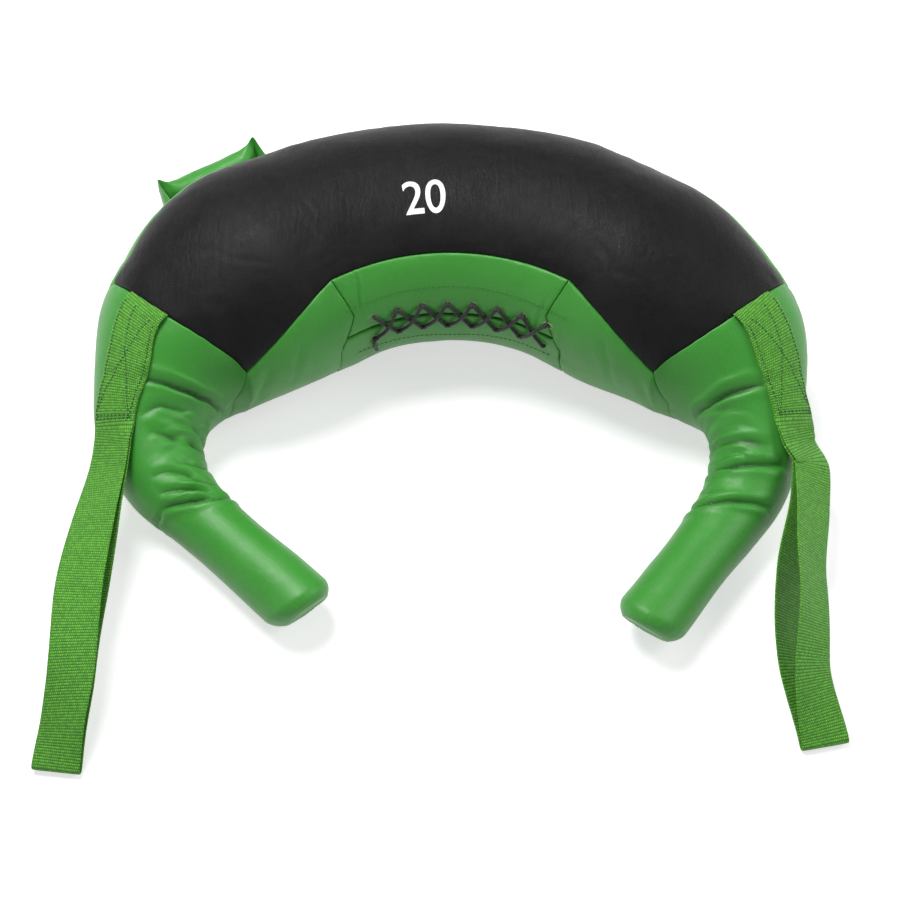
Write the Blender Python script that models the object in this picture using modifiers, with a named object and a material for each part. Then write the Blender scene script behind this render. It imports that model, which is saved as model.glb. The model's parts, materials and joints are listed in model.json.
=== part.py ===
"""A bulgarian bag: a crescent of leather, padding and sand that tapers into two grips.

The bag lies on its flat side, with Z up, X to its right and Y away from its grips.
A station is a length along the bag's centre line from the middle of the crown, below
zero on the left. An angle runs round the section: zero faces the neck space and a
quarter turn faces up. A depth is measured inwards from the outer face of the leather.
"""

import math

import bmesh
import bpy
from mathutils import Matrix, Vector

SIDES = {"left": -1, "right": 1}
TURN = math.tau

# Centre line: a tight crown, a wide shoulder, a tight elbow and a straight grip
CROWN_RADIUS = 0.256
CROWN_TURN = math.radians(30)
SHOULDER_RADIUS = 0.490
SHOULDER_LENGTH = 0.132
ELBOW_RADIUS = {"left": 0.098, "right": 0.1145}
ELBOW_TURN = {"left": math.radians(90), "right": math.radians(80)}
GRIP_LENGTH = {"left": 0.128, "right": 0.118}

# Section: half widths along the centre line, and how flat the bag lies
CROWN_HALF_WIDTH = 0.1033
SEAM_HALF_WIDTH = 0.0785
NECK_HALF_WIDTH = 0.0385
GRIP_RADIUS = 0.0295
TAPER_LEAD = 0.091
SEAM_LAG = 0.024
NECK_LAG = 0.129
ELBOW_START = CROWN_RADIUS * CROWN_TURN + SHOULDER_LENGTH
TAPER_START = ELBOW_START - TAPER_LEAD
END_SEAM = ELBOW_START + SEAM_LAG
SLEEVE_START = ELBOW_START + NECK_LAG
SLEEVE_LENGTH = 0.057
FLATNESS_SHARE = 0.106
FLAT_DEPTH = 0.0046

# Layers, from the leather inwards
GAP = 0.0003
SEAM_GAP = 0.0006
LEATHER = 0.002
PADDING = 0.012
GUSSET = 0.0012
PILLOW_DEPTH = 0.022
STUFFING_INSET = 0.008
STUFFING_GAP = 0.0009
SLEEVE_LIFT = 0.0005

# Long seams round the section, and where the end seams run
INNER_SEAM = math.radians(40)
CORNER_SEAM = math.radians(16)
OUTER_SEAM = math.radians(140)
OUTER_BASE_SEAM = math.radians(230)
INNER_BASE_SEAM = math.radians(310)
PANEL_STEPS = (7, 6, 5, 6)
END_SEAM_SHARES = ((16, 0.914), (45, 1.0), (90, 1.014), (140, 0.976), (230, 0.99), (310, 1.03), (355, 1.05))
LACED_SHARE = 0.53
LACED_STEPS = 6
UPPER_FLAP_STEPS = 3
LOWER_FLAP_STEPS = 4
CENTRE_BAG_STEPS = 4
SIDE_STEPS = 5
SHOULDER_STEPS = 4
SLEEVE_STEPS = 4

# Lace and its punched holes
LACE_RADIUS = 0.0015
LACE_CLEARANCE = 0.0005
LACE_PAIR_COUNT = 8
LACE_PITCH = 0.037
LACE_SHIFT = 0.015
LACE_TAIL = 0.018
TOP_HOLES = math.radians(371)
LOW_HOLES = math.radians(355)
LACED_SPLIT = math.radians(363)
SPLIT_HALF_ANGLE = math.radians(0.7)
CUT_OVERRUN = 0.003
CROSSING_SHARES = (0.0, 0.3, 0.5, 0.7, 1.0)
CLIMB_SHARES = (0.0, 0.75, 1.0, 0.75, 0.0)

# Webbing: a sewn tab on each shoulder and the loop that hangs from it
WEBBING_WIDTH = 0.038
WEBBING = 0.0018
TAB_LENGTH = 0.074
TAB_ANGLE = math.radians(98)
TAB_SLANT = math.radians(18)
TAB_START = 0.0065
TAB_LIFT = 0.0008
TAB_STEPS = 6
LOOP_SPREAD = {"left": 0.018, "right": 0.024}
LOOP_SLACK_SHARE_POWER = 1.4
LOOP_NOSE = 0.0034
LOOP_STEPS = 22
LOOP_COLUMNS = 2

# The loops' routes, as shares of their reach: how far along, out from the root, forward, and up
LOOP_REACH = {"left": 0.275, "right": 0.259}
LOOP_ROUTE_SHARES = {
    "left": (
        (-0.05, 0.0062, -0.0491, 0.3309),
        (0, 0.0000, 0.0000, 0.2964),
        (0.04, -0.0047, 0.0393, 0.2687),
        (0.12, 0.0036, 0.1182, 0.2418),
        (0.28, 0.0430, 0.2764, 0.2273),
        (0.55, 0.0700, 0.5527, 0.1927),
        (0.75, 0.0700, 0.7564, 0.1455),
        (1, 0.0964, 1.0000, 0.0164),
        (1.15, 0.1091, 1.1345, -0.0618),
    ),
    "right": (
        (-0.05, -0.0015, -0.0502, 0.3510),
        (0, 0.0000, 0.0000, 0.3147),
        (0.04, 0.0080, 0.0402, 0.2857),
        (0.12, 0.0330, 0.1178, 0.2529),
        (0.25, 0.0232, 0.2471, 0.2317),
        (0.5, -0.0246, 0.5019, 0.1931),
        (0.75, -0.0400, 0.7568, 0.1351),
        (1, 0.0163, 1.0000, 0.0174),
        (1.15, 0.0386, 1.1429, -0.0579),
    ),
}
LOOP_ROLL_SHARES = {
    "left": ((0.0, 27.6), (0.04, 27.4), (0.45, 4), (0.72, -10), (1.0, 0)),
    "right": ((0.0, 27.1), (0.04, 27.3), (0.28, 38), (0.50, 46), (0.72, 38), (1.0, 0)),
}
LOOP_CREASE = {"left": 0.8, "right": 0.0}
LOOP_CREASE_SHARES = ((0.45, 0.0), (0.65, 1.0), (0.85, 1.0), (1.0, 0.0))
NOSE_STEPS = 4

# Side handles: a leather roll between two sewn feet on the rim
HANDLE_STATION = {"left": 0.158, "right": 0.190}
HANDLE_FLOP = {"left": math.radians(-15), "right": math.radians(-75)}
HANDLE_LENGTH = 0.112
HANDLE_STANDOFF = 0.040
HANDLE_RADIUS = 0.0125
HANDLE_FLARE = 0.0215
HANDLE_NECK = 0.007
FOOT_LENGTH = 0.030
FOOT_WIDTH = 0.040
FOOT_STEPS = 4
HANDLE_SIDES = 10
KNUCKLE_STEPS = 3
HANDLE_RUN_SHARES = (-0.50, -0.51, -0.50, -0.44, -0.34, -0.17, 0.0)
HANDLE_RISE_SHARES = (0.0, 0.30, 0.72, 0.95, 1.0, 1.0, 1.0)

# Grip ends
GRIP_END_ROUNDING = 0.009
END_DISC_RADIUS = 0.0185
END_DISC = 0.003
END_LIP_RADIUS = 0.0165
CORE_FIT = 0.0009
GRIP_SIDES = 24
ROUNDING_STEPS = 3

# Finish of the meshes
SHARP_ANGLE = math.radians(40)
MERGE_DISTANCE = 0.00001

FINISHES = {
    "leather_black": ((0.020, 0.020, 0.022), 0.42),
    "leather_green": ((0.065, 0.340, 0.050), 0.40),
    "webbing_green": ((0.110, 0.440, 0.035), 0.75),
    "lace_black": ((0.012, 0.012, 0.012), 0.70),
    "disc_black": ((0.018, 0.018, 0.018), 0.50),
    "padding_wool": ((0.450, 0.430, 0.400), 0.95),
    "sandbag_cloth": ((0.380, 0.330, 0.240), 0.85),
}


def clear_scene():
    for thing in list(bpy.data.objects):
        bpy.data.objects.remove(thing, do_unlink=True)


def make_collection(name):
    made = bpy.data.collections.new(name)
    bpy.context.scene.collection.children.link(made)
    return made


def make_material(name):
    colour, roughness = FINISHES[name]
    material = bpy.data.materials.new(name)
    material.use_nodes = True
    shader = material.node_tree.nodes["Principled BSDF"]
    shader.inputs["Base Color"].default_value = (*colour, 1.0)
    shader.inputs["Roughness"].default_value = roughness
    return material


def spread(start, end, steps):
    """Evenly spaced values from start to end, both ends among them."""
    return [start + (end - start) * step / steps for step in range(steps + 1)]


def smooth_curve(knots, at):
    """Reads a smooth curve through (place, value) knots that never swings past them."""
    places = [place for place, _ in knots]
    values = [value for _, value in knots]
    if at <= places[0]:
        return values[0]
    if at >= places[-1]:
        return values[-1]
    rises = [(values[i + 1] - values[i]) / (places[i + 1] - places[i]) for i in range(len(knots) - 1)]
    slopes = [0.0]
    for before, after in zip(rises, rises[1:]):
        level = before * after <= 0
        slopes.append(0.0 if level else 2 * before * after / (before + after))
    slopes.append(0.0)
    i = max(j for j in range(len(rises)) if places[j] <= at)
    length = places[i + 1] - places[i]
    t = (at - places[i]) / length
    start = (2 * t**3 - 3 * t**2 + 1) * values[i] + (t**3 - 2 * t**2 + t) * length * slopes[i]
    end = (3 * t**2 - 2 * t**3) * values[i + 1] + (t**3 - t**2) * length * slopes[i + 1]
    return start + end


def side_of(station):
    return "left" if station < 0 else "right"


def grip_start():
    return SLEEVE_START + SLEEVE_LENGTH


def pivot_station():
    return SLEEVE_START + SLEEVE_LENGTH / 2


def grip_end(side):
    return grip_start() + GRIP_LENGTH[side]


def spine(station):
    """The centre line's place on the floor, and its heading away from the X axis."""
    side = side_of(station)
    arcs = (
        (CROWN_RADIUS, CROWN_RADIUS * CROWN_TURN),
        (SHOULDER_RADIUS, SHOULDER_LENGTH),
        (ELBOW_RADIUS[side], ELBOW_RADIUS[side] * ELBOW_TURN[side]),
    )
    x = y = heading = 0.0
    left = abs(station)
    for radius, length in arcs:
        step = min(left, length)
        turned = heading + step / radius
        x += radius * (math.sin(turned) - math.sin(heading))
        y -= radius * (math.cos(heading) - math.cos(turned))
        heading = turned
        left -= step
    x += left * math.cos(heading)
    y -= left * math.sin(heading)
    return Vector((SIDES[side] * x, y, 0.0)), heading


def along(station):
    """The centre line's direction, from the crown towards the grip."""
    _, heading = spine(station)
    return Vector((SIDES[side_of(station)] * math.cos(heading), -math.sin(heading), 0.0))


def inward(station):
    """The level direction from the centre line into the neck space."""
    _, heading = spine(station)
    return Vector((-SIDES[side_of(station)] * math.sin(heading), -math.cos(heading), 0.0))


def half_width(station):
    knots = (
        (0.0, CROWN_HALF_WIDTH),
        (TAPER_START, CROWN_HALF_WIDTH),
        (END_SEAM, SEAM_HALF_WIDTH),
        (SLEEVE_START, NECK_HALF_WIDTH),
        (grip_start(), GRIP_RADIUS),
    )
    return smooth_curve(knots, abs(station))


def fullness(station):
    """How far the section still is from the plain round grip, from 1 to 0."""
    return (half_width(station) - GRIP_RADIUS) / (CROWN_HALF_WIDTH - GRIP_RADIUS)


def half_height(station):
    return half_width(station) * (1 - FLATNESS_SHARE * fullness(station))


def centre_height(station):
    return half_height(station) - FLAT_DEPTH * fullness(station)


def skin_point(station, angle, depth=0.0, floor=0.0):
    """A point this deep in the bag; the floor flattens the underside."""
    level = inward(station) * (half_width(station) - depth) * math.cos(angle)
    height = centre_height(station) + (half_height(station) - depth) * math.sin(angle)
    place, _ = spine(station)
    return place + level + Vector((0.0, 0.0, max(height, depth, floor)))


def skin_normal(station, angle):
    level = inward(station) * math.cos(angle) / half_width(station)
    return (level + Vector((0.0, 0.0, math.sin(angle) / half_height(station)))).normalized()


def end_seam_at(angle):
    """The station of the end seam at this angle; it dips to a point on the inner side."""
    first, first_share = END_SEAM_SHARES[0]
    points = list(END_SEAM_SHARES) + [(first + 360, first_share)]
    degrees = math.degrees(angle) % 360
    if degrees < first:
        degrees += 360
    for (low, low_share), (high, high_share) in zip(points, points[1:]):
        if degrees <= high:
            share = low_share + (high_share - low_share) * (degrees - low) / (high - low)
            return END_SEAM * share
    return END_SEAM


def row_station(row, angle):
    """Rows run from 0 at the crown to 1 at the end seam and 2 at the neck sleeve."""
    seam = end_seam_at(angle)
    if abs(row) <= 1:
        station = abs(row) * seam
    else:
        station = seam + (abs(row) - 1) * (SLEEVE_START - seam)
    return math.copysign(station, row)


def long_seams(row):
    """The four long seams' angles; the inner top one slides down towards the end seam."""
    slide = min(max((abs(row) - LACED_SHARE) / (1 - LACED_SHARE), 0.0), 1.0)
    inner = INNER_SEAM + (CORNER_SEAM - INNER_SEAM) * slide
    return (inner, OUTER_SEAM, OUTER_BASE_SEAM, INNER_BASE_SEAM, inner + TURN)


def panel_angles(panel, row):
    seams = long_seams(row)
    return spread(seams[panel], seams[panel + 1], PANEL_STEPS[panel])


def ring_angles(row):
    """The angles of a whole ring, on the same lines as the panels' facets."""
    ring = []
    for panel in range(len(PANEL_STEPS)):
        ring += panel_angles(panel, row)[:-1]
    return ring


def laced_rows():
    return spread(-LACED_SHARE, LACED_SHARE, 2 * LACED_STEPS)


def body_rows():
    left = spread(-1, -LACED_SHARE, SIDE_STEPS)
    right = spread(LACED_SHARE, 1, SIDE_STEPS)
    return left + laced_rows()[1:-1] + right


def shoulder_rows(side):
    return [SIDES[side] * row for row in spread(1, 2, SHOULDER_STEPS)]


class Workshop:
    """Holds the collections, the finishes and the empties that carry the pieces."""

    def __init__(self):
        self.parts = make_collection("bulgarian_bag")
        self.cutters = make_collection("cutters")
        self.finishes = {name: make_material(name) for name in FINISHES}
        self.bag = self.carrier("bag", Vector())

    def carrier(self, name, place):
        empty = bpy.data.objects.new(name, None)
        empty.location = place
        self.parts.objects.link(empty)
        if name != "bag":
            empty.parent = self.bag
        return empty

    def show(self, thing, finish, carrier):
        thing.parent = carrier or self.bag
        thing.data.materials.append(self.finishes[finish])
        self.parts.objects.link(thing)
        return thing


def mesh_object(shop, name, mesh, finish, carrier=None):
    """Turns a closed bmesh in bag coordinates into a piece on its carrier."""
    bmesh.ops.recalc_face_normals(mesh, faces=mesh.faces)
    if carrier:
        bmesh.ops.translate(mesh, vec=-carrier.location, verts=mesh.verts)
    data = bpy.data.meshes.new(name)
    mesh.to_mesh(data)
    mesh.free()
    data.shade_smooth()
    data.set_sharp_from_angle(angle=SHARP_ANGLE)
    return shop.show(bpy.data.objects.new(name, data), finish, carrier)


def skin_between(outer, inner, wrapped):
    """Closes two matching grids of points into one wall; a wrapped wall is a tube."""
    mesh = bmesh.new()
    faces = [[[mesh.verts.new(point) for point in row] for row in grid] for grid in (outer, inner)]
    rows, columns = len(outer), len(outer[0])
    around = columns if wrapped else columns - 1
    for grid in faces:
        for i in range(rows - 1):
            for j in range(around):
                k = (j + 1) % columns
                mesh.faces.new((grid[i][j], grid[i][k], grid[i + 1][k], grid[i + 1][j]))
    top, low = faces
    for i in (0, rows - 1):
        for j in range(around):
            k = (j + 1) % columns
            mesh.faces.new((top[i][j], top[i][k], low[i][k], low[i][j]))
    if not wrapped:
        for j in (0, columns - 1):
            for i in range(rows - 1):
                mesh.faces.new((top[i][j], top[i + 1][j], low[i + 1][j], low[i][j]))
    return mesh


def plug(rings, start, end):
    """A solid through a run of rings, closed with a fan of faces at each end."""
    mesh = bmesh.new()
    grid = [[mesh.verts.new(point) for point in ring] for ring in rings]
    sides = len(rings[0])
    for first, second in zip(grid, grid[1:]):
        for j in range(sides):
            k = (j + 1) % sides
            mesh.faces.new((first[j], first[k], second[k], second[j]))
    for ring, middle in ((grid[0], start), (grid[-1], end)):
        tip = mesh.verts.new(middle)
        for j in range(sides):
            mesh.faces.new((ring[j], ring[(j + 1) % sides], tip))
    return mesh


def endless_band(sections):
    """A band that closes on itself, from four-cornered or rounder sections."""
    mesh = bmesh.new()
    grid = [[mesh.verts.new(point) for point in section] for section in sections]
    sides = len(sections[0])
    for i, first in enumerate(grid):
        second = grid[(i + 1) % len(grid)]
        for j in range(sides):
            k = (j + 1) % sides
            mesh.faces.new((first[j], first[k], second[k], second[j]))
    return mesh


def trimmed(values, start, end):
    """The same values, with the first and the last one drawn in by these amounts."""
    return [values[0] + start] + values[1:-1] + [values[-1] - end]


def end_insets(count):
    """Half a seam gap at each end of a run of rows, and none between."""
    return [SEAM_GAP / 2] + [0.0] * (count - 2) + [-SEAM_GAP / 2]


def panel_grid(rows, angles_at, depth, angle_trim=SEAM_GAP):
    """Points of one panel at a depth, drawn in at its seams to leave the seam gap."""
    grid = []
    for row, inset in zip(rows, end_insets(len(rows))):
        radius = half_height(row * END_SEAM) - LEATHER
        angles = trimmed(angles_at(row), angle_trim / 2 / radius, angle_trim / 2 / radius)
        grid.append([skin_point(row_station(row, angle) + inset, angle, depth) for angle in angles])
    return grid


def add_panel(shop, name, finish, rows, angles_at):
    outer = panel_grid(rows, angles_at, 0.0)
    inner = panel_grid(rows, angles_at, LEATHER)
    return mesh_object(shop, name, skin_between(outer, inner, False), finish)


def add_body_panels(shop):
    """The black top and base, the green outer rim and the two inner side panels."""
    add_panel(shop, "top_panel", "leather_black", body_rows(), lambda row: panel_angles(0, row))
    add_panel(shop, "rim_panel", "leather_green", body_rows(), lambda row: panel_angles(1, row))
    add_panel(shop, "base_panel", "leather_black", body_rows(), lambda row: panel_angles(2, row))
    for side, sign in SIDES.items():
        rows = sorted(sign * row for row in spread(LACED_SHARE, 1, SIDE_STEPS))
        add_panel(shop, f"{side}_inner_panel", "leather_green", rows, lambda row: panel_angles(3, row))


def lace_hole_station(pair):
    return LACE_SHIFT + (pair - (LACE_PAIR_COUNT - 1) / 2) * LACE_PITCH


def lace_offset():
    """How far each of the two runs of lace lies from the middle of its hole."""
    return LACE_RADIUS + LACE_CLEARANCE / 2


def hole_cutters(shop, name, angle):
    """One slot through the leather for each pair, wide enough for two runs of lace."""
    mesh = bmesh.new()
    wide = 2 * (lace_offset() + LACE_RADIUS + LACE_CLEARANCE)
    tall = 2 * (LACE_RADIUS + LACE_CLEARANCE)
    deep = LEATHER + 2 * CUT_OVERRUN
    for pair in range(LACE_PAIR_COUNT):
        station = lace_hole_station(pair)
        out = skin_normal(station, angle)
        run = along(station)
        cross = out.cross(run)
        turn = Matrix((run, cross, out)).transposed().to_4x4()
        size = Matrix.Diagonal((wide, tall, deep, 1.0))
        middle = skin_point(station, angle, LEATHER / 2)
        bmesh.ops.create_cube(mesh, size=1.0, matrix=Matrix.Translation(middle) @ turn @ size)
    data = bpy.data.meshes.new(name)
    mesh.to_mesh(data)
    mesh.free()
    cutter = bpy.data.objects.new(name, data)
    cutter.parent = shop.bag
    cutter.hide_render = True
    cutter.display_type = "WIRE"
    shop.cutters.objects.link(cutter)
    return cutter


def add_flap(shop, name, low, high, steps, holes):
    """Half of the laced panel, with its row of punched holes."""
    flap = add_panel(shop, name, "leather_green", laced_rows(), lambda row: spread(low, high, steps))
    cut = flap.modifiers.new("lace holes", "BOOLEAN")
    cut.object = hole_cutters(shop, f"{name}_holes", holes)
    cut.operation = "DIFFERENCE"
    cut.solver = "EXACT"
    return flap


def add_flaps(shop):
    high_edge = INNER_SEAM + TURN
    add_flap(shop, "upper_flap", LACED_SPLIT + SPLIT_HALF_ANGLE, high_edge, UPPER_FLAP_STEPS, TOP_HOLES)
    low_edge = LACED_SPLIT - SPLIT_HALF_ANGLE
    add_flap(shop, "lower_flap", INNER_BASE_SEAM, low_edge, LOWER_FLAP_STEPS, LOW_HOLES)


def lace_step():
    """The height from one run of lace to another that crosses it."""
    return 2 * LACE_RADIUS + LACE_CLEARANCE


def gusset_depth():
    """The gusset lies behind the two hidden runs of lace."""
    return LEATHER + GAP + 2 * lace_step()


def recess_depth():
    return gusset_depth() + GUSSET + GAP


def add_gusset(shop):
    """The tongue behind the lacing, on the middle columns of the inner panel."""
    def columns(row):
        return panel_angles(3, row)[1:-1]

    rows = laced_rows()[1:-1]
    outer = panel_grid(rows, columns, gusset_depth(), 0.0)
    inner = panel_grid(rows, columns, gusset_depth() + GUSSET, 0.0)
    mesh_object(shop, "lacing_gusset", skin_between(outer, inner, False), "leather_black")


def lace_diagonal(pair, start_angle, end_angle, raised):
    """The five points of one run across the split, over or under the other run."""
    outside = -(LACE_RADIUS + LACE_CLEARANCE)
    start = lace_hole_station(pair) - lace_offset()
    end = lace_hole_station(pair - 1) + lace_offset()
    climb = lace_step() if raised else 0.0
    points = []
    for share, climbed in zip(CROSSING_SHARES, CLIMB_SHARES):
        station = start + (end - start) * share
        angle = start_angle + (end_angle - start_angle) * share
        points.append((station, angle, outside - climb * climbed))
    return points


def lace_hidden(pair, start_angle, end_angle, level):
    """The run behind the leather from one hole to the other of the same pair."""
    depth = LEATHER + GAP + LACE_RADIUS + level * lace_step()
    station = lace_hole_station(pair)
    offset = lace_offset()
    return [(station + offset, start_angle, depth), (station - offset, end_angle, depth)]


def lace_strand(start_at_top):
    """One end of the lace, from the last pair on the right to the first on the left."""
    start, end = (TOP_HOLES, LOW_HOLES) if start_at_top else (LOW_HOLES, TOP_HOLES)
    level = 0 if start_at_top else 1
    points = []
    for pair in range(LACE_PAIR_COUNT - 1, 0, -1):
        points += lace_diagonal(pair, start, end, start_at_top)
        points += lace_hidden(pair - 1, end, start, level)
    return points


def lace_route():
    """The whole lace: both strands, joined behind the last pair on the right."""
    over = lace_strand(True)
    under = lace_strand(False)
    station = lace_hole_station(LACE_PAIR_COUNT - 1) - lace_offset()
    depth = LEATHER + GAP + LACE_RADIUS
    turn = [(station, TOP_HOLES, depth), (station, LOW_HOLES, depth)]
    outside = -(LACE_RADIUS + LACE_CLEARANCE)
    tail_station, tail_angle, _ = under[-1]
    tail_turn = LACE_TAIL / half_height(tail_station)
    tail = [(tail_station, tail_angle, outside), (tail_station, tail_angle - tail_turn, outside)]
    return list(reversed(over)) + turn + under + tail


def add_lace(shop):
    curve = bpy.data.curves.new("lace", "CURVE")
    curve.dimensions = "3D"
    curve.bevel_depth = LACE_RADIUS
    curve.bevel_resolution = 1
    curve.use_fill_caps = True
    points = [skin_point(*place) for place in lace_route()]
    spline = curve.splines.new("POLY")
    spline.points.add(len(points) - 1)
    for point, place in zip(spline.points, points):
        point.co = (*place, 1.0)
    shop.show(bpy.data.objects.new("lace", curve), "lace_black", None)


def padding_depth(row, column):
    """The padding's outer face, let in behind the laced panel for the gusset."""
    lacing = len(PANEL_STEPS) - 1
    first = sum(PANEL_STEPS[:lacing])
    behind = first < column < first + PANEL_STEPS[lacing]
    let_in = behind and abs(row) <= LACED_SHARE
    return recess_depth() if let_in else LEATHER + GAP


def ring_at(row, depth_at, inset=0.0, floor=0.0):
    ring = []
    for column, angle in enumerate(ring_angles(row)):
        ring.append(skin_point(row_station(row, angle) + inset, angle, depth_at(row, column), floor))
    return ring


def add_tube(shop, name, finish, rows, outer_depth, inner_depth):
    insets = end_insets(len(rows))
    outer = [ring_at(row, outer_depth, inset) for row, inset in zip(rows, insets)]
    inner = [ring_at(row, inner_depth, inset) for row, inset in zip(rows, insets)]
    mesh_object(shop, name, skin_between(outer, inner, True), finish)


def add_padding(shop):
    """The wool wrap round the sand: one long tube and a short one in each shoulder."""
    def inner(row, column):
        return LEATHER + GAP + PADDING

    add_tube(shop, "body_padding", "padding_wool", body_rows(), padding_depth, inner)
    for side in SIDES:
        rows = sorted(shoulder_rows(side)[: SHOULDER_STEPS // 2 + 1])
        add_tube(shop, f"{side}_shoulder_padding", "padding_wool", rows, padding_depth, inner)


def bag_depth():
    return LEATHER + PADDING + 2 * GAP


def pillow_depth():
    """Where a sandbag's side turns into its drawn-in end."""
    return bag_depth() + PILLOW_DEPTH


def add_sandbag(shop, name, rows):
    """A filled bag with pillow ends, inside the padding."""
    rings = []
    for i, (row, inset) in enumerate(zip(rows, end_insets(len(rows)))):
        depth = pillow_depth() if i in (0, len(rows) - 1) else bag_depth()
        rings.append(ring_at(row, lambda _row, _column: depth, inset))
    ends = [sum(ring, Vector()) / len(ring) for ring in (rings[0], rings[-1])]
    mesh_object(shop, name, plug(rings, *ends), "sandbag_cloth")


def add_sandbags(shop):
    """Five bags in a row: one under the crown, one on each side and one in each shoulder."""
    laced = laced_rows()
    near = laced[LACED_STEPS - CENTRE_BAG_STEPS : LACED_STEPS + CENTRE_BAG_STEPS + 1]
    add_sandbag(shop, "centre_sandbag", near)
    for side, sign in SIDES.items():
        far = [row for row in body_rows() if sign * row >= near[-1]]
        add_sandbag(shop, f"{side}_middle_sandbag", far)
        rows = sorted(shoulder_rows(side)[: SHOULDER_STEPS // 2 + 1])
        add_sandbag(shop, f"{side}_shoulder_sandbag", rows)


def add_shoulder(shop, side):
    """The green leather round the shoulder, from the end seam to the neck."""
    rows = sorted(shoulder_rows(side))
    add_tube(
        shop,
        f"{side}_shoulder_panel",
        "leather_green",
        rows,
        lambda _row, _column: 0.0,
        lambda _row, _column: LEATHER,
    )


def add_neck_stuffing(shop, side):
    """The wad that plugs the neck, between the padding and the grip's core."""
    depth = LEATHER + GAP
    rows = shoulder_rows(side)[SHOULDER_STEPS // 2 :]
    sign = SIDES[side]
    rings = [ring_at(rows[0], lambda _row, _column: pillow_depth(), sign * STUFFING_INSET)]
    rings.append(ring_at(rows[0], lambda _row, _column: depth, sign * STUFFING_GAP))
    rings += [ring_at(row, lambda _row, _column: depth) for row in rows[1:-1]]
    core_back = pivot_station() - (GRIP_RADIUS - depth) - 2 * SEAM_GAP
    last = sign * min(core_back, SLEEVE_START)
    rings.append([skin_point(last, angle, depth) for angle in ring_angles(rows[-1])])
    rings = rings[::sign]
    ends = [sum(ring, Vector()) / len(ring) for ring in (rings[0], rings[-1])]
    mesh_object(shop, f"{side}_neck_stuffing", plug(rings, *ends), "padding_wool")


def add_sleeve(shop, side):
    """The soft leather sleeve over the neck, which creases when the grip swings."""
    sign = SIDES[side]
    stations = trimmed(spread(SLEEVE_START, grip_start(), SLEEVE_STEPS), SEAM_GAP / 2, SEAM_GAP / 2)
    angles = ring_angles(2)
    walls = []
    for depth in (0.0, LEATHER):
        floor = SLEEVE_LIFT + depth
        walls.append([[skin_point(sign * s, angle, depth, floor) for angle in angles] for s in stations])
    mesh_object(shop, f"{side}_neck_sleeve", skin_between(*walls, True), "leather_green")


def turned(shop, name, profile, finish, carrier):
    """A turned piece of a grip, from (radius, station) points; a ring's profile is closed."""
    mesh = bmesh.new()
    corners = [mesh.verts.new((radius, 0.0, station - pivot_station())) for radius, station in profile]
    for first, second in zip(corners, corners[1:]):
        mesh.edges.new((first, second))
    if profile[0][0] > 0:
        mesh.edges.new((corners[-1], corners[0]))
    data = bpy.data.meshes.new(name)
    mesh.to_mesh(data)
    mesh.free()
    thing = bpy.data.objects.new(name, data)
    screw = thing.modifiers.new("turn", "SCREW")
    screw.steps = screw.render_steps = GRIP_SIDES
    screw.use_merge_vertices = True
    screw.merge_threshold = MERGE_DISTANCE
    screw.use_smooth_shade = True
    return shop.show(thing, finish, carrier)


def rounded_end(radius, end, rounding):
    """Profile points round the end of a grip, from its side to its face."""
    points = []
    for step in range(ROUNDING_STEPS + 1):
        angle = TURN / 4 * step / ROUNDING_STEPS
        across = radius - rounding * (1 - math.cos(angle))
        points.append((across, end - rounding * (1 - math.sin(angle))))
    return points


def grip_wall(side):
    """The leather tube's profile: its outside, the drawn-in lip at its end and its inside."""
    start, end = grip_start() + SEAM_GAP / 2, grip_end(side)
    outer = rounded_end(GRIP_RADIUS, end, GRIP_END_ROUNDING)
    lip = [(END_LIP_RADIUS, end), (END_LIP_RADIUS, end - LEATHER)]
    inner = rounded_end(GRIP_RADIUS - LEATHER, end - LEATHER, GRIP_END_ROUNDING - LEATHER)
    return [(GRIP_RADIUS, start)] + outer + lip + inner[::-1] + [(GRIP_RADIUS - LEATHER, start)]


def grip_core(core_end):
    """The packed core's profile, from the ball at the pivot to its end behind the disc."""
    radius = GRIP_RADIUS - LEATHER - CORE_FIT
    ball = []
    for angle in spread(0.0, TURN / 4, 2 * ROUNDING_STEPS):
        ball.append((radius * math.sin(angle), pivot_station() - radius * math.cos(angle)))
    return ball + rounded_end(radius, core_end, GRIP_END_ROUNDING) + [(0.0, core_end)]


def add_grip(shop, side):
    """The leather tube, its packed core and its end disc, on the carrier at the pivot."""
    sign = SIDES[side]
    place, _ = spine(sign * pivot_station())
    carrier = shop.carrier(f"{side}_grip_flex", place + Vector((0.0, 0.0, GRIP_RADIUS)))
    direction = along(sign * grip_start())
    carrier.rotation_euler = direction.to_track_quat("Z", "X").to_euler()
    turned(shop, f"{side}_grip_cover", grip_wall(side)[::-1], "leather_green", carrier)
    front = grip_end(side) - LEATHER - GAP
    back = front - END_DISC
    disc = [(0.0, back), (END_DISC_RADIUS, back), (END_DISC_RADIUS, front), (0.0, front)]
    turned(shop, f"{side}_end_disc", disc[::-1], "disc_black", carrier)
    turned(shop, f"{side}_grip_core", grip_core(back - GAP)[::-1], "padding_wool", carrier)


def tab_place(side, run, across):
    """Station and angle of a point on the sewn tab, run along it and across it."""
    sign = SIDES[side]
    station = end_seam_at(TAB_ANGLE) + TAB_START + run * math.cos(TAB_SLANT) - across * math.sin(TAB_SLANT)
    reach = run * math.sin(TAB_SLANT) + across * math.cos(TAB_SLANT)
    return sign * station, TAB_ANGLE + reach / half_height(station)


def tab_point(side, run, across, lift):
    station, angle = tab_place(side, run, across)
    return skin_point(station, angle, -lift)


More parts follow.
